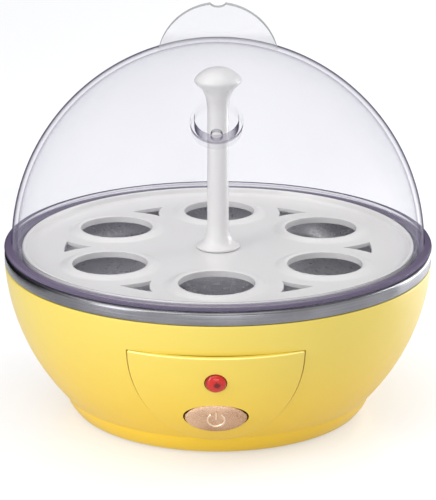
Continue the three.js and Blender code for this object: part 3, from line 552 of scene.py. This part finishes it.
def panel_outline(margin, front_y, back_y, rows=40):
    """The half-ellipse plate as a straight bar along Y, drawn as an edge loop, filled and extruded."""
    bpy.ops.object.select_all(action="DESELECT")
    bpy.ops.mesh.primitive_circle_add(vertices=4 * rows, radius=1, location=(0, 0, 0), fill_type="NGON")
    plate = bpy.context.object
    bpy.ops.object.mode_set(mode="EDIT")
    bpy.ops.mesh.select_all(action="SELECT")
    bpy.ops.mesh.bisect(plane_co=(0, 0, 0), plane_no=(0, 1, 0), clear_outer=True, use_fill=False)
    bpy.ops.mesh.select_all(action="SELECT")
    bpy.ops.mesh.extrude_region_move(TRANSFORM_OT_translate={"value": (0, 0, 1)})
    bpy.ops.mesh.select_all(action="SELECT")
    bpy.ops.mesh.normals_make_consistent(inside=False)
    bpy.ops.object.mode_set(mode="OBJECT")
    half, tall = panel_half + margin, panel_tall + 2 * margin
    stand = Matrix(((half, 0, 0, 0), (0, 0, back_y - front_y, front_y), (0, tall, 0, panel_top_z + margin),
                    (0, 0, 0, 1)))
    plate.data.transform(stand)
    return plate


def whole_ball(radius, y, z, rings=96):
    bpy.ops.object.select_all(action="DESELECT")
    bpy.ops.mesh.primitive_uv_sphere_add(segments=2 * rings, ring_count=rings, radius=radius,
                                         location=(0, y, z))
    made = bpy.context.object
    apply_place(made)
    return made


panel_gap = 0.32 * mm
button_gap = 0.65 * mm
lens_gap = 0.3 * mm


def front_holes():
    """The oval and the round hole, as bars that go through the panel and the bowl's wall."""
    return [oval_bar(button_half + button_gap, button_tall + button_gap, -14 * mm, 5 * mm),
            rod(lens_r + lens_gap, -12 * mm, 5 * mm, place=lens_place)]


panel_room = panel_outline(panel_gap, -rim_r - 10 * mm, -rim_r * 0.5)
carve(panel_room, [whole_ball(bowl_ball - mm, 0, bowl_centre_z)])
carve(bowl, [panel_room] + front_holes())

gland_z = 28 * mm
gland_hole_r = 5.5 * mm
gland_pitch = asin((bowl_centre_z - gland_z) / bowl_ball)
gland_y = -ball_at(bowl_ball, bowl_centre_z, gland_z)
gland_place = Matrix.Rotation(pi, 4, "Z") @ seat_place(gland_y, gland_z, gland_pitch)
carve(bowl, [rod(gland_hole_r, -8 * mm, 5 * mm, place=gland_place)])
shade(bowl, 30)
dress(bowl, yellow_gloss, "base", "yellow_plastic", "bowl_housing")


# ---------------------------------------------------------------- control panel
# A separate half-ellipse plate of the same yellow plastic, proud of the bowl, with a rounded edge all
# round and one oval and one round hole.

panel_rows = 56
panel_cols = 64
panel_wall = 2.2 * mm
panel_edge = 0.5 * mm
panel_sweep = radians(88)
bpy.ops.object.select_all(action="DESELECT")
bpy.ops.mesh.primitive_grid_add(x_subdivisions=panel_cols, y_subdivisions=panel_rows, size=2,
                                location=(0, 0, 0))
panel = bpy.context.object
panel.name = "panel_plate"
for vertex in panel.data.vertices:
    across, down = vertex.co.x, (1 - vertex.co.y) / 2
    swing = down * panel_sweep
    x = panel_half * across * cos(swing)
    z = panel_top_z - panel_tall * sin(swing)
    vertex.co = (x, panel_surface(x, z), z)
shell = panel.modifiers.new("shell", "SOLIDIFY")
shell.thickness = panel_wall
shell.offset = -1
bpy.context.view_layer.objects.active = panel
bpy.ops.object.modifier_apply(modifier="shell")
bpy.ops.object.mode_set(mode="EDIT")
bpy.ops.mesh.select_all(action="SELECT")
bpy.ops.mesh.normals_make_consistent(inside=False)
bpy.ops.mesh.select_all(action="DESELECT")
bpy.ops.mesh.select_mode(type="EDGE")
bpy.ops.mesh.edges_select_sharp(sharpness=radians(50))
bpy.ops.mesh.bevel(offset=panel_edge, segments=4, affect="EDGES", clamp_overlap=False)
bpy.ops.object.mode_set(mode="OBJECT")
carve(panel, [whole_ball(bowl_ball - 0.7 * mm, 0, bowl_centre_z)] + front_holes())
shade(panel, 30)
dress(panel, yellow_gloss, "base", "yellow_plastic", "control_panel")


def add_finish(piece, finish, picks):
    """Adds one more finish to a piece, on the faces that the test picks."""
    piece.data.materials.append(finish)
    for face in piece.data.polygons:
        if picks(face):
            face.material_index = len(piece.data.materials) - 1


# The rounded edge is polished by the mould and is glossier; its paler yellow is a painted highlight line.
edge_painted_highlight = moulded_plastic("yellow_edge_painted_highlight", (0.96, 0.83, 0.34), (0.92, 0.77, 0.24), 0.22, 0.5)


def on_panel_edge(face):
    out = face.center - Vector((0, panel_y, panel_z))
    near_outside = panel_ball - 0.55 * mm < out.length < panel_ball + 0.1 * mm
    return near_outside and face.normal.dot(out.normalized()) < 0.97


add_finish(panel, edge_painted_highlight, on_panel_edge)


# ---------------------------------------------------------------- indicator lens
# A clear red dome that pushes in from the front. A neon lamp glows through it when the plate is hot, and
# a darker patch of painted shade stands for its hollow back.

lens = turned("lamp_lens", (0, -1.2 * mm), [
    ("to", lens_r - 1.1 * mm, -1.2 * mm),
    ("to", lens_r - 1.1 * mm, -8 * mm),
    ("to", lens_r, -8 * mm),
    ("to", lens_r, 0.2 * mm),
    ("to", lens_r * 0.92, 0.75 * mm),
    ("to", lens_r * 0.78, 1.25 * mm),
    ("to", lens_r * 0.58, 1.6 * mm),
    ("to", lens_r * 0.32, 1.83 * mm),
    ("to", 0, 1.9 * mm),
], steps=64, soften=0)
lens.data.transform(lens_place)
red_finish, red_shader, node, tree = finish_nodes("clear_red")
place = node("ShaderNodeTexCoord").outputs["Object"]
lens_middle = lens_place @ Vector((0.5 * mm, 0.5 * mm, 1.7 * mm))
reach = node("ShaderNodeVectorMath", {"operation": "DISTANCE"}, i0=place, i1=tuple(lens_middle))
swirl = node("ShaderNodeTexNoise", Vector=place, Scale=700.0, Detail=2.0)
bent = node("ShaderNodeMath", {"operation": "MULTIPLY_ADD"}, i0=swirl.outputs["Fac"], i1=0.0016,
            i2=reach.outputs["Value"])
# Painted shade: a darker patch near the lens's middle stands for the hollow behind it.
hollow_painted_shade = node("ShaderNodeMapRange", {"interpolation_type": "SMOOTHSTEP"}, Value=bent.outputs[0],
                   i1=0.0014, i2=0.0026)
edge_tone = node("ShaderNodeMapRange", {"interpolation_type": "SMOOTHSTEP"}, Value=reach.outputs["Value"],
                 i1=0.0032, i2=0.0046)
warm = node("ShaderNodeMix", {"data_type": "RGBA"}, Factor=hollow_painted_shade.outputs[0],
            i6=(0.10, 0.004, 0.004, 1), i7=(0.52, 0.016, 0.010, 1))
tone = node("ShaderNodeMix", {"data_type": "RGBA"}, Factor=edge_tone.outputs[0], i6=(1, 1, 1, 1),
            i7=(0.20, 0.005, 0.005, 1))
link(tree, warm.outputs[2], tone.inputs[6])
link(tree, tone.outputs[2], red_shader.inputs["Base Color"])
red_shader.inputs["Roughness"].default_value = 0.08
red_shader.inputs["Coat Weight"].default_value = 0.35
red_shader.inputs["Specular IOR Level"].default_value = 0.3
red_shader.inputs["Emission Color"].default_value = (0.9, 0.05, 0.02, 1)
red_shader.inputs["Emission Strength"].default_value = 0.04
dress(lens, red_finish, "base", "red_lens", "indicator_lens")


# ---------------------------------------------------------------- power button
# An oval cap with a crowned face, sprayed rose gold. A raised ring and bar mark it. Behind the wall it has
# a flange that keeps it in, and a boss that pushes the switch.

button = turned("power_key", (0, 1.05 * mm), [
    ("to", 2.0 * mm, 1.0 * mm), ("to", 3.8 * mm, 0.86 * mm), ("to", 5.2 * mm, 0.62 * mm),
    ("to", 6.2 * mm, 0.3 * mm), ("to", 6.8 * mm, -0.05 * mm), ("to", 7.15 * mm, -0.45 * mm),
    ("to", 7.32 * mm, -0.9 * mm), ("to", button_tall, -1.5 * mm), ("to", button_tall, -8 * mm),
    ("to", button_tall - mm, -8 * mm), ("to", button_tall - mm, -2 * mm), ("to", 0, -2 * mm),
], steps=128, soften=0)
button.data.transform(Matrix.Diagonal((button_half / button_tall, 1, 1, 1)))
rear_flange = rod(1, -9 * mm, -7.7 * mm, sides=128)
rear_flange.data.transform(Matrix.Diagonal((button_half + 1.6 * mm, button_tall + 1.6 * mm, 1, 1)))
carve(rear_flange, [rod(6 * mm, -12 * mm, 0)])
boss = rod(3.4 * mm, -11 * mm, -1.5 * mm)
carve(boss, [rod(2.1 * mm, -14 * mm, -5 * mm)])
for addition in (rear_flange, boss):
    bpy.ops.object.select_all(action="DESELECT")
    addition.select_set(True)
    button.select_set(True)
    bpy.context.view_layer.objects.active = button
    bpy.ops.object.join()
shade(button, 40)
button.data.transform(button_place)

rose_finish = metal("rose_gold_spray", (1.0, 0.74, 0.53), (0.50, 0.27, 0.16), 0.38, (240, 240, 240), 0.0005)
dress(button, rose_finish, "button", "rose_gold", "power_button")


# The cap's side is painted dark, as painted shade in the gap round it.
def on_key_side(face):
    axis = Vector(button_place.col[2][:3])
    depth = (face.center - button_place.translation).dot(axis)
    return depth < -0.6 * mm and abs(face.normal.dot(axis)) < 0.5


add_finish(button, metal("key_side_painted_shade", (0.10, 0.05, 0.03), (0.06, 0.03, 0.02), 0.5), on_key_side)

# The mark: a ring open at the top and a bar, both round in section and half sunk in the face.
mark_r = 3.3 * mm
mark_thick = 0.5 * mm
mark_z = 0.95 * mm
bpy.ops.object.select_all(action="DESELECT")
bpy.ops.mesh.primitive_circle_add(vertices=16, radius=mark_thick, fill_type="NOTHING",
                                  location=(mark_r, 0, 0), rotation=(pi / 2, 0, 0))
mark = bpy.context.object
mark.name = "power_mark"
apply_place(mark)
mark.data.transform(Matrix.Rotation(radians(90 + 35), 4, "Z"))
bpy.ops.object.mode_set(mode="EDIT")
bpy.ops.mesh.select_all(action="SELECT")
bpy.ops.mesh.edge_face_add()
bpy.ops.mesh.spin(steps=48, angle=radians(-290), center=(0, 0, 0), axis=(0, 0, 1))
bpy.ops.mesh.select_all(action="SELECT")
bpy.ops.mesh.normals_make_consistent(inside=False)
bpy.ops.object.mode_set(mode="OBJECT")
stroke = rod(mark_thick, 0.2 * mm, 4.3 * mm, sides=16)
stroke.data.transform(Matrix.Rotation(-pi / 2, 4, "X"))
bpy.ops.object.select_all(action="DESELECT")
stroke.select_set(True)
mark.select_set(True)
bpy.context.view_layer.objects.active = mark
bpy.ops.object.join()
mark.data.transform(Matrix.Translation((0.1 * mm, 0.3 * mm, mark_z)))
mark.data.transform(button_place)
shade(mark, 40)
mark_finish = metal("mark_gold", (0.98, 0.84, 0.68), (0.84, 0.64, 0.46), 0.24, (200, 200, 200))
dress(mark, mark_finish, "button", "rose_gold")


# ---------------------------------------------------------------- mains cord gland
# A black rubber sleeve in the back of the bowl, with a groove that grips the wall, three soft ribs and an
# open bore for the mains cord.

gland_moves = [("to", 5.2 * mm, -5.9 * mm), ("to", 7.2 * mm, -4.9 * mm), ("to", 7.2 * mm, -3.4 * mm),
               ("to", 5.2 * mm, -3.4 * mm), ("to", 5.2 * mm, 0.8 * mm), ("to", 7.4 * mm, 0.8 * mm),
               ("to", 6.9 * mm, 2.4 * mm)]
for rib in range(3):
    rib_z = (3.0 + 1.9 * rib) * mm
    rib_r = (6.2 - 0.5 * rib) * mm
    gland_moves += [("to", rib_r - 0.9 * mm, rib_z), ("to", rib_r - 0.9 * mm, rib_z + 0.8 * mm),
                    ("to", rib_r - 0.3 * mm, rib_z + 1.0 * mm), ("to", rib_r - 0.3 * mm, rib_z + 1.7 * mm)]
gland_moves += [("to", 4.5 * mm, 9 * mm), ("to", 3.5 * mm, 9 * mm), ("to", 3.5 * mm, -5.9 * mm)]
gland = turned("cord_sleeve", (3.5 * mm, -5.9 * mm), gland_moves, steps=48, soften=0.15 * mm)
gland.data.transform(gland_place)
dress(gland, rubber_black, "base", "rubber", "cord_gland")


# ---------------------------------------------------------------- water dish
# A spun stainless steel dish. The water boils on its flat floor. A step carries the egg rack, and the
# brushed rim rolls over the bowl's lip as the bright band round the cooker.

dish_lo, dish_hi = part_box("water_dish")
steel = 1 * mm
rim_top_z = dish_hi.z
rim_low_z = rim_top_z - 5.1 * mm
rim_out_r = dish_hi.x
mouth_r = rim_out_r - 5.1 * mm
ledge_z = rim_top_z - 3.2 * mm
step_r = mouth_r - 5.7 * mm
dish_floor_z = dish_lo.z + steel
floor_r = step_r - 9 * mm
corner = 5 * mm
dish = turned("water_pan", (0, dish_floor_z - steel), [
    ("to", floor_r + 1.3 * mm, dish_floor_z - steel),
    ("to", floor_r + 4.2 * mm, dish_floor_z + 0.2 * mm),
    ("to", floor_r + 5.8 * mm, dish_floor_z + 1.9 * mm),
    ("to", step_r + 0.5 * mm, ledge_z - 1.5 * mm),
    ("to", step_r + 0.9 * mm, ledge_z - steel),
    ("to", mouth_r + steel, ledge_z - steel),
    ("to", mouth_r + steel, rim_top_z - steel),
    ("to", rim_out_r - steel, rim_top_z - steel),
    ("to", rim_out_r - steel, rim_low_z),
    ("to", rim_out_r - 0.1 * mm, rim_low_z),
    ("to", rim_out_r, rim_low_z + 0.7 * mm),
    ("to", rim_out_r, rim_top_z - 1.3 * mm),
    ("swing", rim_out_r - 1.3 * mm, rim_top_z - 1.3 * mm, pi / 2, 8),
    ("to", mouth_r, rim_top_z),
    ("to", mouth_r, ledge_z),
    ("to", step_r + 0.6 * mm, ledge_z),
    ("to", step_r - 0.3 * mm, ledge_z - 0.9 * mm),
    ("to", floor_r + 5.1 * mm, dish_floor_z + 2.6 * mm),
    ("to", floor_r + 3.4 * mm, dish_floor_z + 0.8 * mm),
    ("to", floor_r + 1.0 * mm, dish_floor_z),
    ("to", 0, dish_floor_z),
], steps=192, soften=0.2 * mm)
brushed_steel = metal("brushed_steel", (0.34, 0.34, 0.35), (0.17, 0.17, 0.185), 0.24, (1.5, 1.5, 320),
                      0.00003)
dress(dish, brushed_steel, "base", "stainless_steel", "water_dish")

# Inside the rim the sheet keeps its bright mill finish.
mill_steel = metal("mill_steel", (0.66, 0.66, 0.67), (0.46, 0.46, 0.48), 0.30, (60, 60, 60), 0.00003)
add_finish(dish, mill_steel, lambda face: hypot(face.center.x, face.center.y) < mouth_r - 0.1 * mm)


# ---------------------------------------------------------------- egg rack
# A white polypropylene plate with a raised edge. Six holes with soft rolled collars hold the eggs, and
# six curved triangular slots between them let the steam up.

tray_lo, tray_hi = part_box("egg_tray")
tray_r = tray_hi.x
tray_z = tray_lo.z
deck_z = tray_z + 1.5 * mm
tray_rim_z = tray_hi.z
post_r = 4.4 * mm
seat_r = 15.2 * mm
seat_to_edge = 15.4 * mm
seat_ring = tray_r - seat_r - seat_to_edge
tray = turned("egg_rack", (post_r, tray_z), [
    ("to", tray_r - 0.4 * mm, tray_z),
    ("to", tray_r, tray_z + 0.6 * mm),
    ("to", tray_r, tray_rim_z - 0.7 * mm),
    ("swing", tray_r - 0.75 * mm, tray_rim_z - 0.75 * mm, pi / 2, 6),
    ("swing", tray_r - 0.75 * mm, tray_rim_z - 0.75 * mm, pi / 2, 6),
    ("to", tray_r - 1.8 * mm, deck_z + 1.0 * mm),
    ("to", tray_r - 2.9 * mm, deck_z + 0.2 * mm),
] + [("to", tray_r - (4.5 + 0.55 * ring) * mm, deck_z) for ring in range(131)] + [
    ("to", post_r, deck_z),
    ("to", post_r, tray_z),
], steps=288, soften=0)
seats = [Vector((seat_ring * cos(radians(60 * i - 90)), seat_ring * sin(radians(60 * i - 90)), 0))
         for i in range(6)]


def collar_rise(x, y):
    """Height of the rolled collar round each hole: up over 1.2 mm, then down into the deck over 4.3 mm."""
    reach = min(hypot(x - s.x, y - s.y) for s in seats)
    out = (reach - seat_r) / mm
    if out < 0:
        return 0.9 * mm
    if out <= 1.2:
        return (1.25 - 0.35 * ((1.2 - out) / 1.2) ** 2) * mm
    if out < 5.5:
        return 1.25 * (0.5 + 0.5 * cos(pi * (out - 1.2) / 4.3)) * mm
    return 0


for vertex in tray.data.vertices:
    if abs(vertex.co.z - deck_z) < 0.05 * mm:
        vertex.co.z += collar_rise(vertex.co.x, vertex.co.y)
carve(tray, [rod(seat_r, tray_z - 3 * mm, deck_z + 9 * mm, s.x, s.y, 96) for s in seats])


slot_to_edge = 17.1 * mm
slot_to_seat = 11.1 * mm


def steam_slot(turn):
    """Room between two seats' webs and an outer arc, as a straight bar through the deck."""
    low, high = tray_z - 2 * mm, deck_z + 6 * mm
    outer = tray_r - slot_to_edge
    middle = seat_ring * cos(radians(30))
    beside = seat_ring * sin(radians(30))
    bpy.ops.object.select_all(action="DESELECT")
    bpy.ops.mesh.primitive_circle_add(vertices=3, radius=mm, fill_type="NGON", location=(0, 0, low))
    slot = bpy.context.object
    apply_place(slot)
    corners = [(middle, 0), (outer * 1.2, outer * 0.32), (outer * 1.2, -outer * 0.32)]
    for vertex, (x, y) in zip(slot.data.vertices, corners):
        vertex.co.x, vertex.co.y = x, y
    bpy.ops.object.mode_set(mode="EDIT")
    bpy.ops.mesh.select_all(action="SELECT")
    bpy.ops.mesh.extrude_region_move(TRANSFORM_OT_translate={"value": (0, 0, high - low)})
    bpy.ops.mesh.select_all(action="SELECT")
    bpy.ops.mesh.normals_make_consistent(inside=False)
    bpy.ops.object.mode_set(mode="OBJECT")
    carve(slot, [rod(outer, low - mm, high + mm, sides=192)], "INTERSECT")
    carve(slot, [rod(seat_r + slot_to_seat, low - mm, high + mm, middle, side, 128)
                 for side in (beside, -beside)])
    slot.data.transform(Matrix.Rotation(turn, 4, "Z"))
    return slot


carve(tray, [steam_slot(radians(60 * i - 60)) for i in range(6)])
shade(tray, 38)
white_plastic = moulded_plastic("white_plastic", (0.72, 0.71, 0.70), (0.67, 0.66, 0.65), 0.30, 0.3)
dress(tray, white_plastic, "tray", "white_plastic", "egg_tray")


# ---------------------------------------------------------------- lifting post
# A white post that snaps through the middle of the rack. It flares into a trumpet-shaped knob, by which
# the rack is lifted out with the eggs on it.

post_lo, post_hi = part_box("lifting_post")
knob_top_z = post_hi.z
knob_r = 9.7 * mm
knob_z = knob_top_z - 5.4 * mm
post = turned("rack_post", (0, post_lo.z), [
    ("to", post_r - 0.3 * mm, post_lo.z),
    ("to", post_r + 0.6 * mm, post_lo.z + 1.0 * mm),
    ("to", post_r + 0.6 * mm, tray_z - 0.3 * mm),
    ("to", post_r - 0.3 * mm, tray_z - 0.3 * mm),
    ("to", post_r - 0.3 * mm, deck_z + 0.3 * mm),
    ("to", 9.0 * mm, deck_z + 0.3 * mm),
    ("to", 9.0 * mm, deck_z + 1.1 * mm),
    ("to", 7.4 * mm, deck_z + 1.7 * mm),
    ("to", post_r + 1.5 * mm, deck_z + 3.2 * mm),
    ("to", post_r + 0.5 * mm, deck_z + 6 * mm),
    ("to", post_r, deck_z + 10 * mm),
    ("to", post_r - 0.1 * mm, knob_top_z - 17 * mm),
    ("to", post_r + 0.5 * mm, knob_top_z - 12.6 * mm),
    ("to", post_r + 1.4 * mm, knob_top_z - 10.4 * mm),
    ("to", knob_r * 0.72, knob_top_z - 8.6 * mm),
    ("to", knob_r * 0.89, knob_top_z - 7.2 * mm),
    ("to", knob_r * 0.985, knob_z - 0.6 * mm),
    ("to", knob_r, knob_z + 0.1 * mm),
    ("to", knob_r * 0.965, knob_z + 0.9 * mm),
    ("to", knob_r * 0.86, knob_z + 2.1 * mm),
    ("to", knob_r * 0.68, knob_z + 3.5 * mm),
    ("to", knob_r * 0.46, knob_z + 4.6 * mm),
    ("to", knob_r * 0.22, knob_z + 5.25 * mm),
    ("to", 0, knob_top_z),
], steps=96, soften=0.15 * mm, smooth=60)
dress(post, white_plastic, "tray", "white_plastic", "lifting_post")


# ---------------------------------------------------------------- lid
# A clear polystyrene dome. A thick flange rests on the steel rim, and a skirt inside it keeps it centred.
# A round cup is moulded into its front, and steam leaves through the hole in the cup's floor.

lid_wall = 2.2 * mm
lid_z = rim_top_z + 0.3 * mm
dome_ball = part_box("lid_dome")[1].z - lid_z
inner_dome = dome_ball - lid_wall
flange_top_z = lid_z + 2.3 * mm
skirt_r = mouth_r - 0.5 * mm
skirt_in_r = skirt_r - 1.3 * mm
dome_foot = asin((flange_top_z - lid_z) / dome_ball)
inner_foot = asin((flange_top_z - lid_z) / inner_dome)
lid = turned("clear_dome", (skirt_in_r, lid_z - 2.3 * mm), [
    ("to", skirt_r, lid_z - 2.3 * mm),
    ("to", skirt_r, lid_z),
    ("to", rim_out_r - 1.1 * mm, lid_z),
    ("swing", rim_out_r - 1.1 * mm, lid_z + 1.1 * mm, pi / 2, 6),
    ("swing", rim_out_r - 1.1 * mm, lid_z + 1.1 * mm, pi / 2, 6),
    ("to", dome_ball * cos(dome_foot), flange_top_z),
    ("swing", 0, lid_z, pi / 2 - dome_foot, 56),
    ("to", 0, lid_z + inner_dome),
    ("swing", 0, lid_z, inner_foot - pi / 2, 56),
    ("to", skirt_in_r, lid_z + 0.7 * mm),
    ("to", skirt_in_r, lid_z - 2.3 * mm),
], steps=192, soften=0.25 * mm)

vent_place = Matrix.Translation((0, 0, lid_z)) @ Matrix.Rotation(radians(90 - 52), 4, "X")
vent_r = 10.2 * mm
cup_wall = 1.6 * mm
steam_hole_r = 2.3 * mm
steam_hole_y = -vent_r * 0.36
cup_floor = dome_ball - 6 * mm
cup_step = dome_ball - 4.4 * mm
carve(lid, [rod(vent_r, cup_step, dome_ball - mm, sides=96, place=vent_place),
            rod(vent_r - 0.4 * mm, cup_floor - lid_wall, cup_step + mm, sides=96, place=vent_place)],
      "UNION")
carve(lid, [rod(vent_r - cup_wall, cup_floor, dome_ball + 5 * mm, sides=96, place=vent_place),
            rod(steam_hole_r, cup_floor - 9 * mm, dome_ball + 5 * mm, 0, steam_hole_y, 32, vent_place)])
shade(lid, 30)


def clear_plastic(name, haze_tint, line_tint, haze, line, edge=(0.80, 0.95), shadow_band_z=None):
    """Clear plastic: a faint haze, thicker towards the edge, a painted shadow band above a given height, and
    a painted dark line where it is seen edge on.
    """
    finish, shader, node, tree = finish_nodes(name)
    place = node("ShaderNodeTexCoord").outputs["Object"]
    facing = node("ShaderNodeLayerWeight", Blend=0.5).outputs["Facing"]
    cloud = node("ShaderNodeTexNoise", Vector=place, Scale=18.0, Detail=3.0)
    thin = node("ShaderNodeMapRange", Value=cloud.outputs["Fac"], i1=0.3, i2=0.7,
                i3=haze * 0.8, i4=haze * 1.2)
    if shadow_band_z:
        up = node("ShaderNodeSeparateXYZ", Vector=place).outputs["Z"]
        shadow_band = node("ShaderNodeMapRange", {"interpolation_type": "SMOOTHSTEP"}, Value=up, i1=shadow_band_z,
                    i2=shadow_band_z + 3.2 * mm, i3=0.17, i4=0.0)
        thin = node("ShaderNodeMath", {"operation": "ADD"}, i0=thin.outputs[0], i1=shadow_band.outputs[0])
    deep = node("ShaderNodeMath", {"operation": "POWER"}, i0=facing, i1=3.0)
    veil = node("ShaderNodeMath", {"operation": "MULTIPLY_ADD"}, i0=deep.outputs[0], i1=haze * 2.6,
                i2=thin.outputs[0])
    # The rim mask paints the dark line seen edge on, in place of the refraction there.
    rim = node("ShaderNodeMapRange", {"interpolation_type": "SMOOTHSTEP"}, Value=facing, i1=edge[0],
               i2=edge[1])
    solid = node("ShaderNodeMath", {"operation": "MULTIPLY_ADD", "use_clamp": True}, i0=rim.outputs[0],
                 i1=line, i2=veil.outputs[0])
    tone = node("ShaderNodeMix", {"data_type": "RGBA"}, Factor=rim.outputs[0], i6=(*haze_tint, 1),
                i7=(*line_tint, 1))
    link(tree, tone.outputs[2], shader.inputs["Base Color"])
    link(tree, solid.outputs[0], shader.inputs["Alpha"])
    ripple = node("ShaderNodeTexNoise", Vector=place, Scale=30.0, Detail=1.0)
    bump = node("ShaderNodeBump", Strength=0.1, Distance=0.0002, Height=ripple.outputs["Fac"])
    link(tree, bump.outputs[0], shader.inputs["Normal"])
    shader.inputs["Roughness"].default_value = 0.05
    shader.inputs["Specular IOR Level"].default_value = 0.0
    shader.inputs["Coat Weight"].default_value = 0.08
    shader.inputs["Coat Roughness"].default_value = 0.03
    return finish


dome_clear = clear_plastic("clear_dome_plastic", (0.40, 0.39, 0.47), (0.030, 0.022, 0.050), 0.07, 0.92)
inner_clear = clear_plastic("clear_inner_plastic", (0.40, 0.39, 0.47), (0.16, 0.14, 0.20), 0.06, 0.20)
dress(lid, dome_clear, "lid", "clear_plastic", "lid_dome")

# In the flange and in the lower half of the cup's rim, where the plastic is thick, it is painted smoky as
# painted shade from the refraction there.
refraction_shade_clear = clear_plastic("clear_painted_refraction_shade", (0.24, 0.21, 0.30), (0.045, 0.030, 0.065), 0.34, 0.5,
                            (0.35, 0.90))
vent_axis = Vector(vent_place.col[2][:3])


def off_axis(point, foot):
    """The way to a point from a line through the foot along the vent's own axis, square to that line."""
    reach = point - foot
    return reach - vent_axis * reach.dot(vent_axis)


def in_refraction_shade(face):
    spot = face.center
    along = (spot - vent_place.translation).dot(vent_axis)
    beside = off_axis(spot, vent_place.translation)
    in_hole = off_axis(spot, vent_place @ Vector((0, steam_hole_y, 0))).length < steam_hole_r + 0.4 * mm
    on_rim = beside.length < vent_r + 0.3 * mm and along > cup_step and beside.z < 0.1 * vent_r
    on_cup = abs(face.normal.dot(vent_axis)) < 0.8 and along > cup_floor - 3 * mm and (in_hole or on_rim)
    on_flange = spot.z < flange_top_z + 0.1 * mm and hypot(spot.x, spot.y) > dome_ball - 2.6 * mm
    return on_cup or on_flange


def is_inside(face):
    return not in_refraction_shade(face) and (face.center - Vector((0, 0, lid_z))).length < dome_ball - mm


add_finish(lid, refraction_shade_clear, in_refraction_shade)
add_finish(lid, inner_clear, is_inside)


# ---------------------------------------------------------------- lid grip
# A clear half disc welded upright on top of the dome. Each face is hollowed for the fingers, and a small
# notch marks the middle of its edge.

grip_lo, grip_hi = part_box("lid_handle")
grip_r = 24.7 * mm
grip_z = grip_hi.z - grip_r
grip_thick = grip_hi.y - grip_lo.y
grip = rod(grip_r, -grip_thick / 2, grip_thick / 2, sides=160)
grip.name = "dome_grip"
grip.data.transform(Matrix.Translation((0, 0, grip_z)) @ Matrix.Rotation(pi / 2, 4, "X"))
dome_top_z = lid_z + dome_ball
hollow_z = dome_top_z + 9.2 * mm
hollow_half_width = 16.5 * mm
hollow_half_height = 6.4 * mm
hollow_depth = 1.2 * mm
notch_half = 3.2 * mm
notch_depth = 1.7 * mm


def finger_hollow(side):
    """A shallow oval cut for the fingers, wider than it is tall."""
    made = whole_ball(1, 0, 0, 48)
    made.data.transform(Matrix.Translation((0, side * grip_thick / 2, hollow_z))
                        @ Matrix.Diagonal((hollow_half_width, hollow_depth, hollow_half_height, 1)))
    return made


notch = rod(1, -grip_thick, grip_thick, sides=48)
notch.data.transform(Matrix.Translation((0, 0, grip_z + grip_r + 0.3 * mm))
                     @ Matrix.Rotation(pi / 2, 4, "X")
                     @ Matrix.Diagonal((notch_half, notch_depth, 1, 1)))
carve(grip, [whole_ball(dome_ball + 0.3 * mm, 0, lid_z), finger_hollow(-1), finger_hollow(1), notch])
shade(grip, 30)
# Low on the grip a band of painted shadow stands for the shade under the finger hollows.
grip_clear = clear_plastic("clear_grip_plastic", (0.52, 0.52, 0.55), (0.22, 0.23, 0.23), 0.10, 0.55,
                           (0.50, 0.90), shadow_band_z=dome_top_z + 0.6 * mm)
dress(grip, grip_clear, "lid", "clear_plastic", "lid_handle")


def on_weld(face):
    return (face.center - Vector((0, 0, lid_z))).length < dome_ball + 0.8 * mm and face.normal.z < -0.5


add_finish(grip, clear_plastic("clear_weld", (0.45, 0.45, 0.50), (0.3, 0.3, 0.35), 0.03, 0.0), on_weld)


# ---------------------------------------------------------------- seal and inside parts
# The seal, the heating unit, the switch, the lamp and the wiring sit out of sight between the dish and the
# cover. They keep their own solids and take the finish of what they are made of.

inside_finishes = {
    "zinc_steel": zinc_plate,
    "stainless_steel": brushed_steel,
    "aluminium": metal("cast_aluminium", (0.66, 0.67, 0.68), (0.50, 0.51, 0.52), 0.5, (60, 60, 60), 0.0002),
    "silicone": moulded_plastic("silicone_rubber", (0.70, 0.70, 0.68), (0.62, 0.62, 0.60), 0.6, 0.0),
    "black_plastic": moulded_plastic("black_resin", (0.035, 0.035, 0.037), (0.02, 0.02, 0.022), 0.45, 0.1),
    "white_plastic": white_plastic,
    "wire_insulation": moulded_plastic("glass_sleeving", (0.80, 0.79, 0.75), (0.70, 0.69, 0.65), 0.6, 0.0),
    "lamp_glass": clear_plastic("lamp_glass", (0.90, 0.70, 0.60), (0.5, 0.3, 0.2), 0.30, 0.5),
}
slots = {part["node"]: part["material_slot"] for part in frame["record"]["subparts"]}
replaced = {"bottom_cover", "bowl_housing", "control_panel", "indicator_lens", "power_button", "cord_gland",
            "water_dish", "egg_tray", "lifting_post", "lid_dome", "lid_handle"}
for name, solid in frame["nodes"].items():
    if name in replaced or name.startswith(("rubber_foot", "cover_screw")):
        continue
    solid.data.materials.clear()
    solid.data.materials.append(inside_finishes[slots[name]])
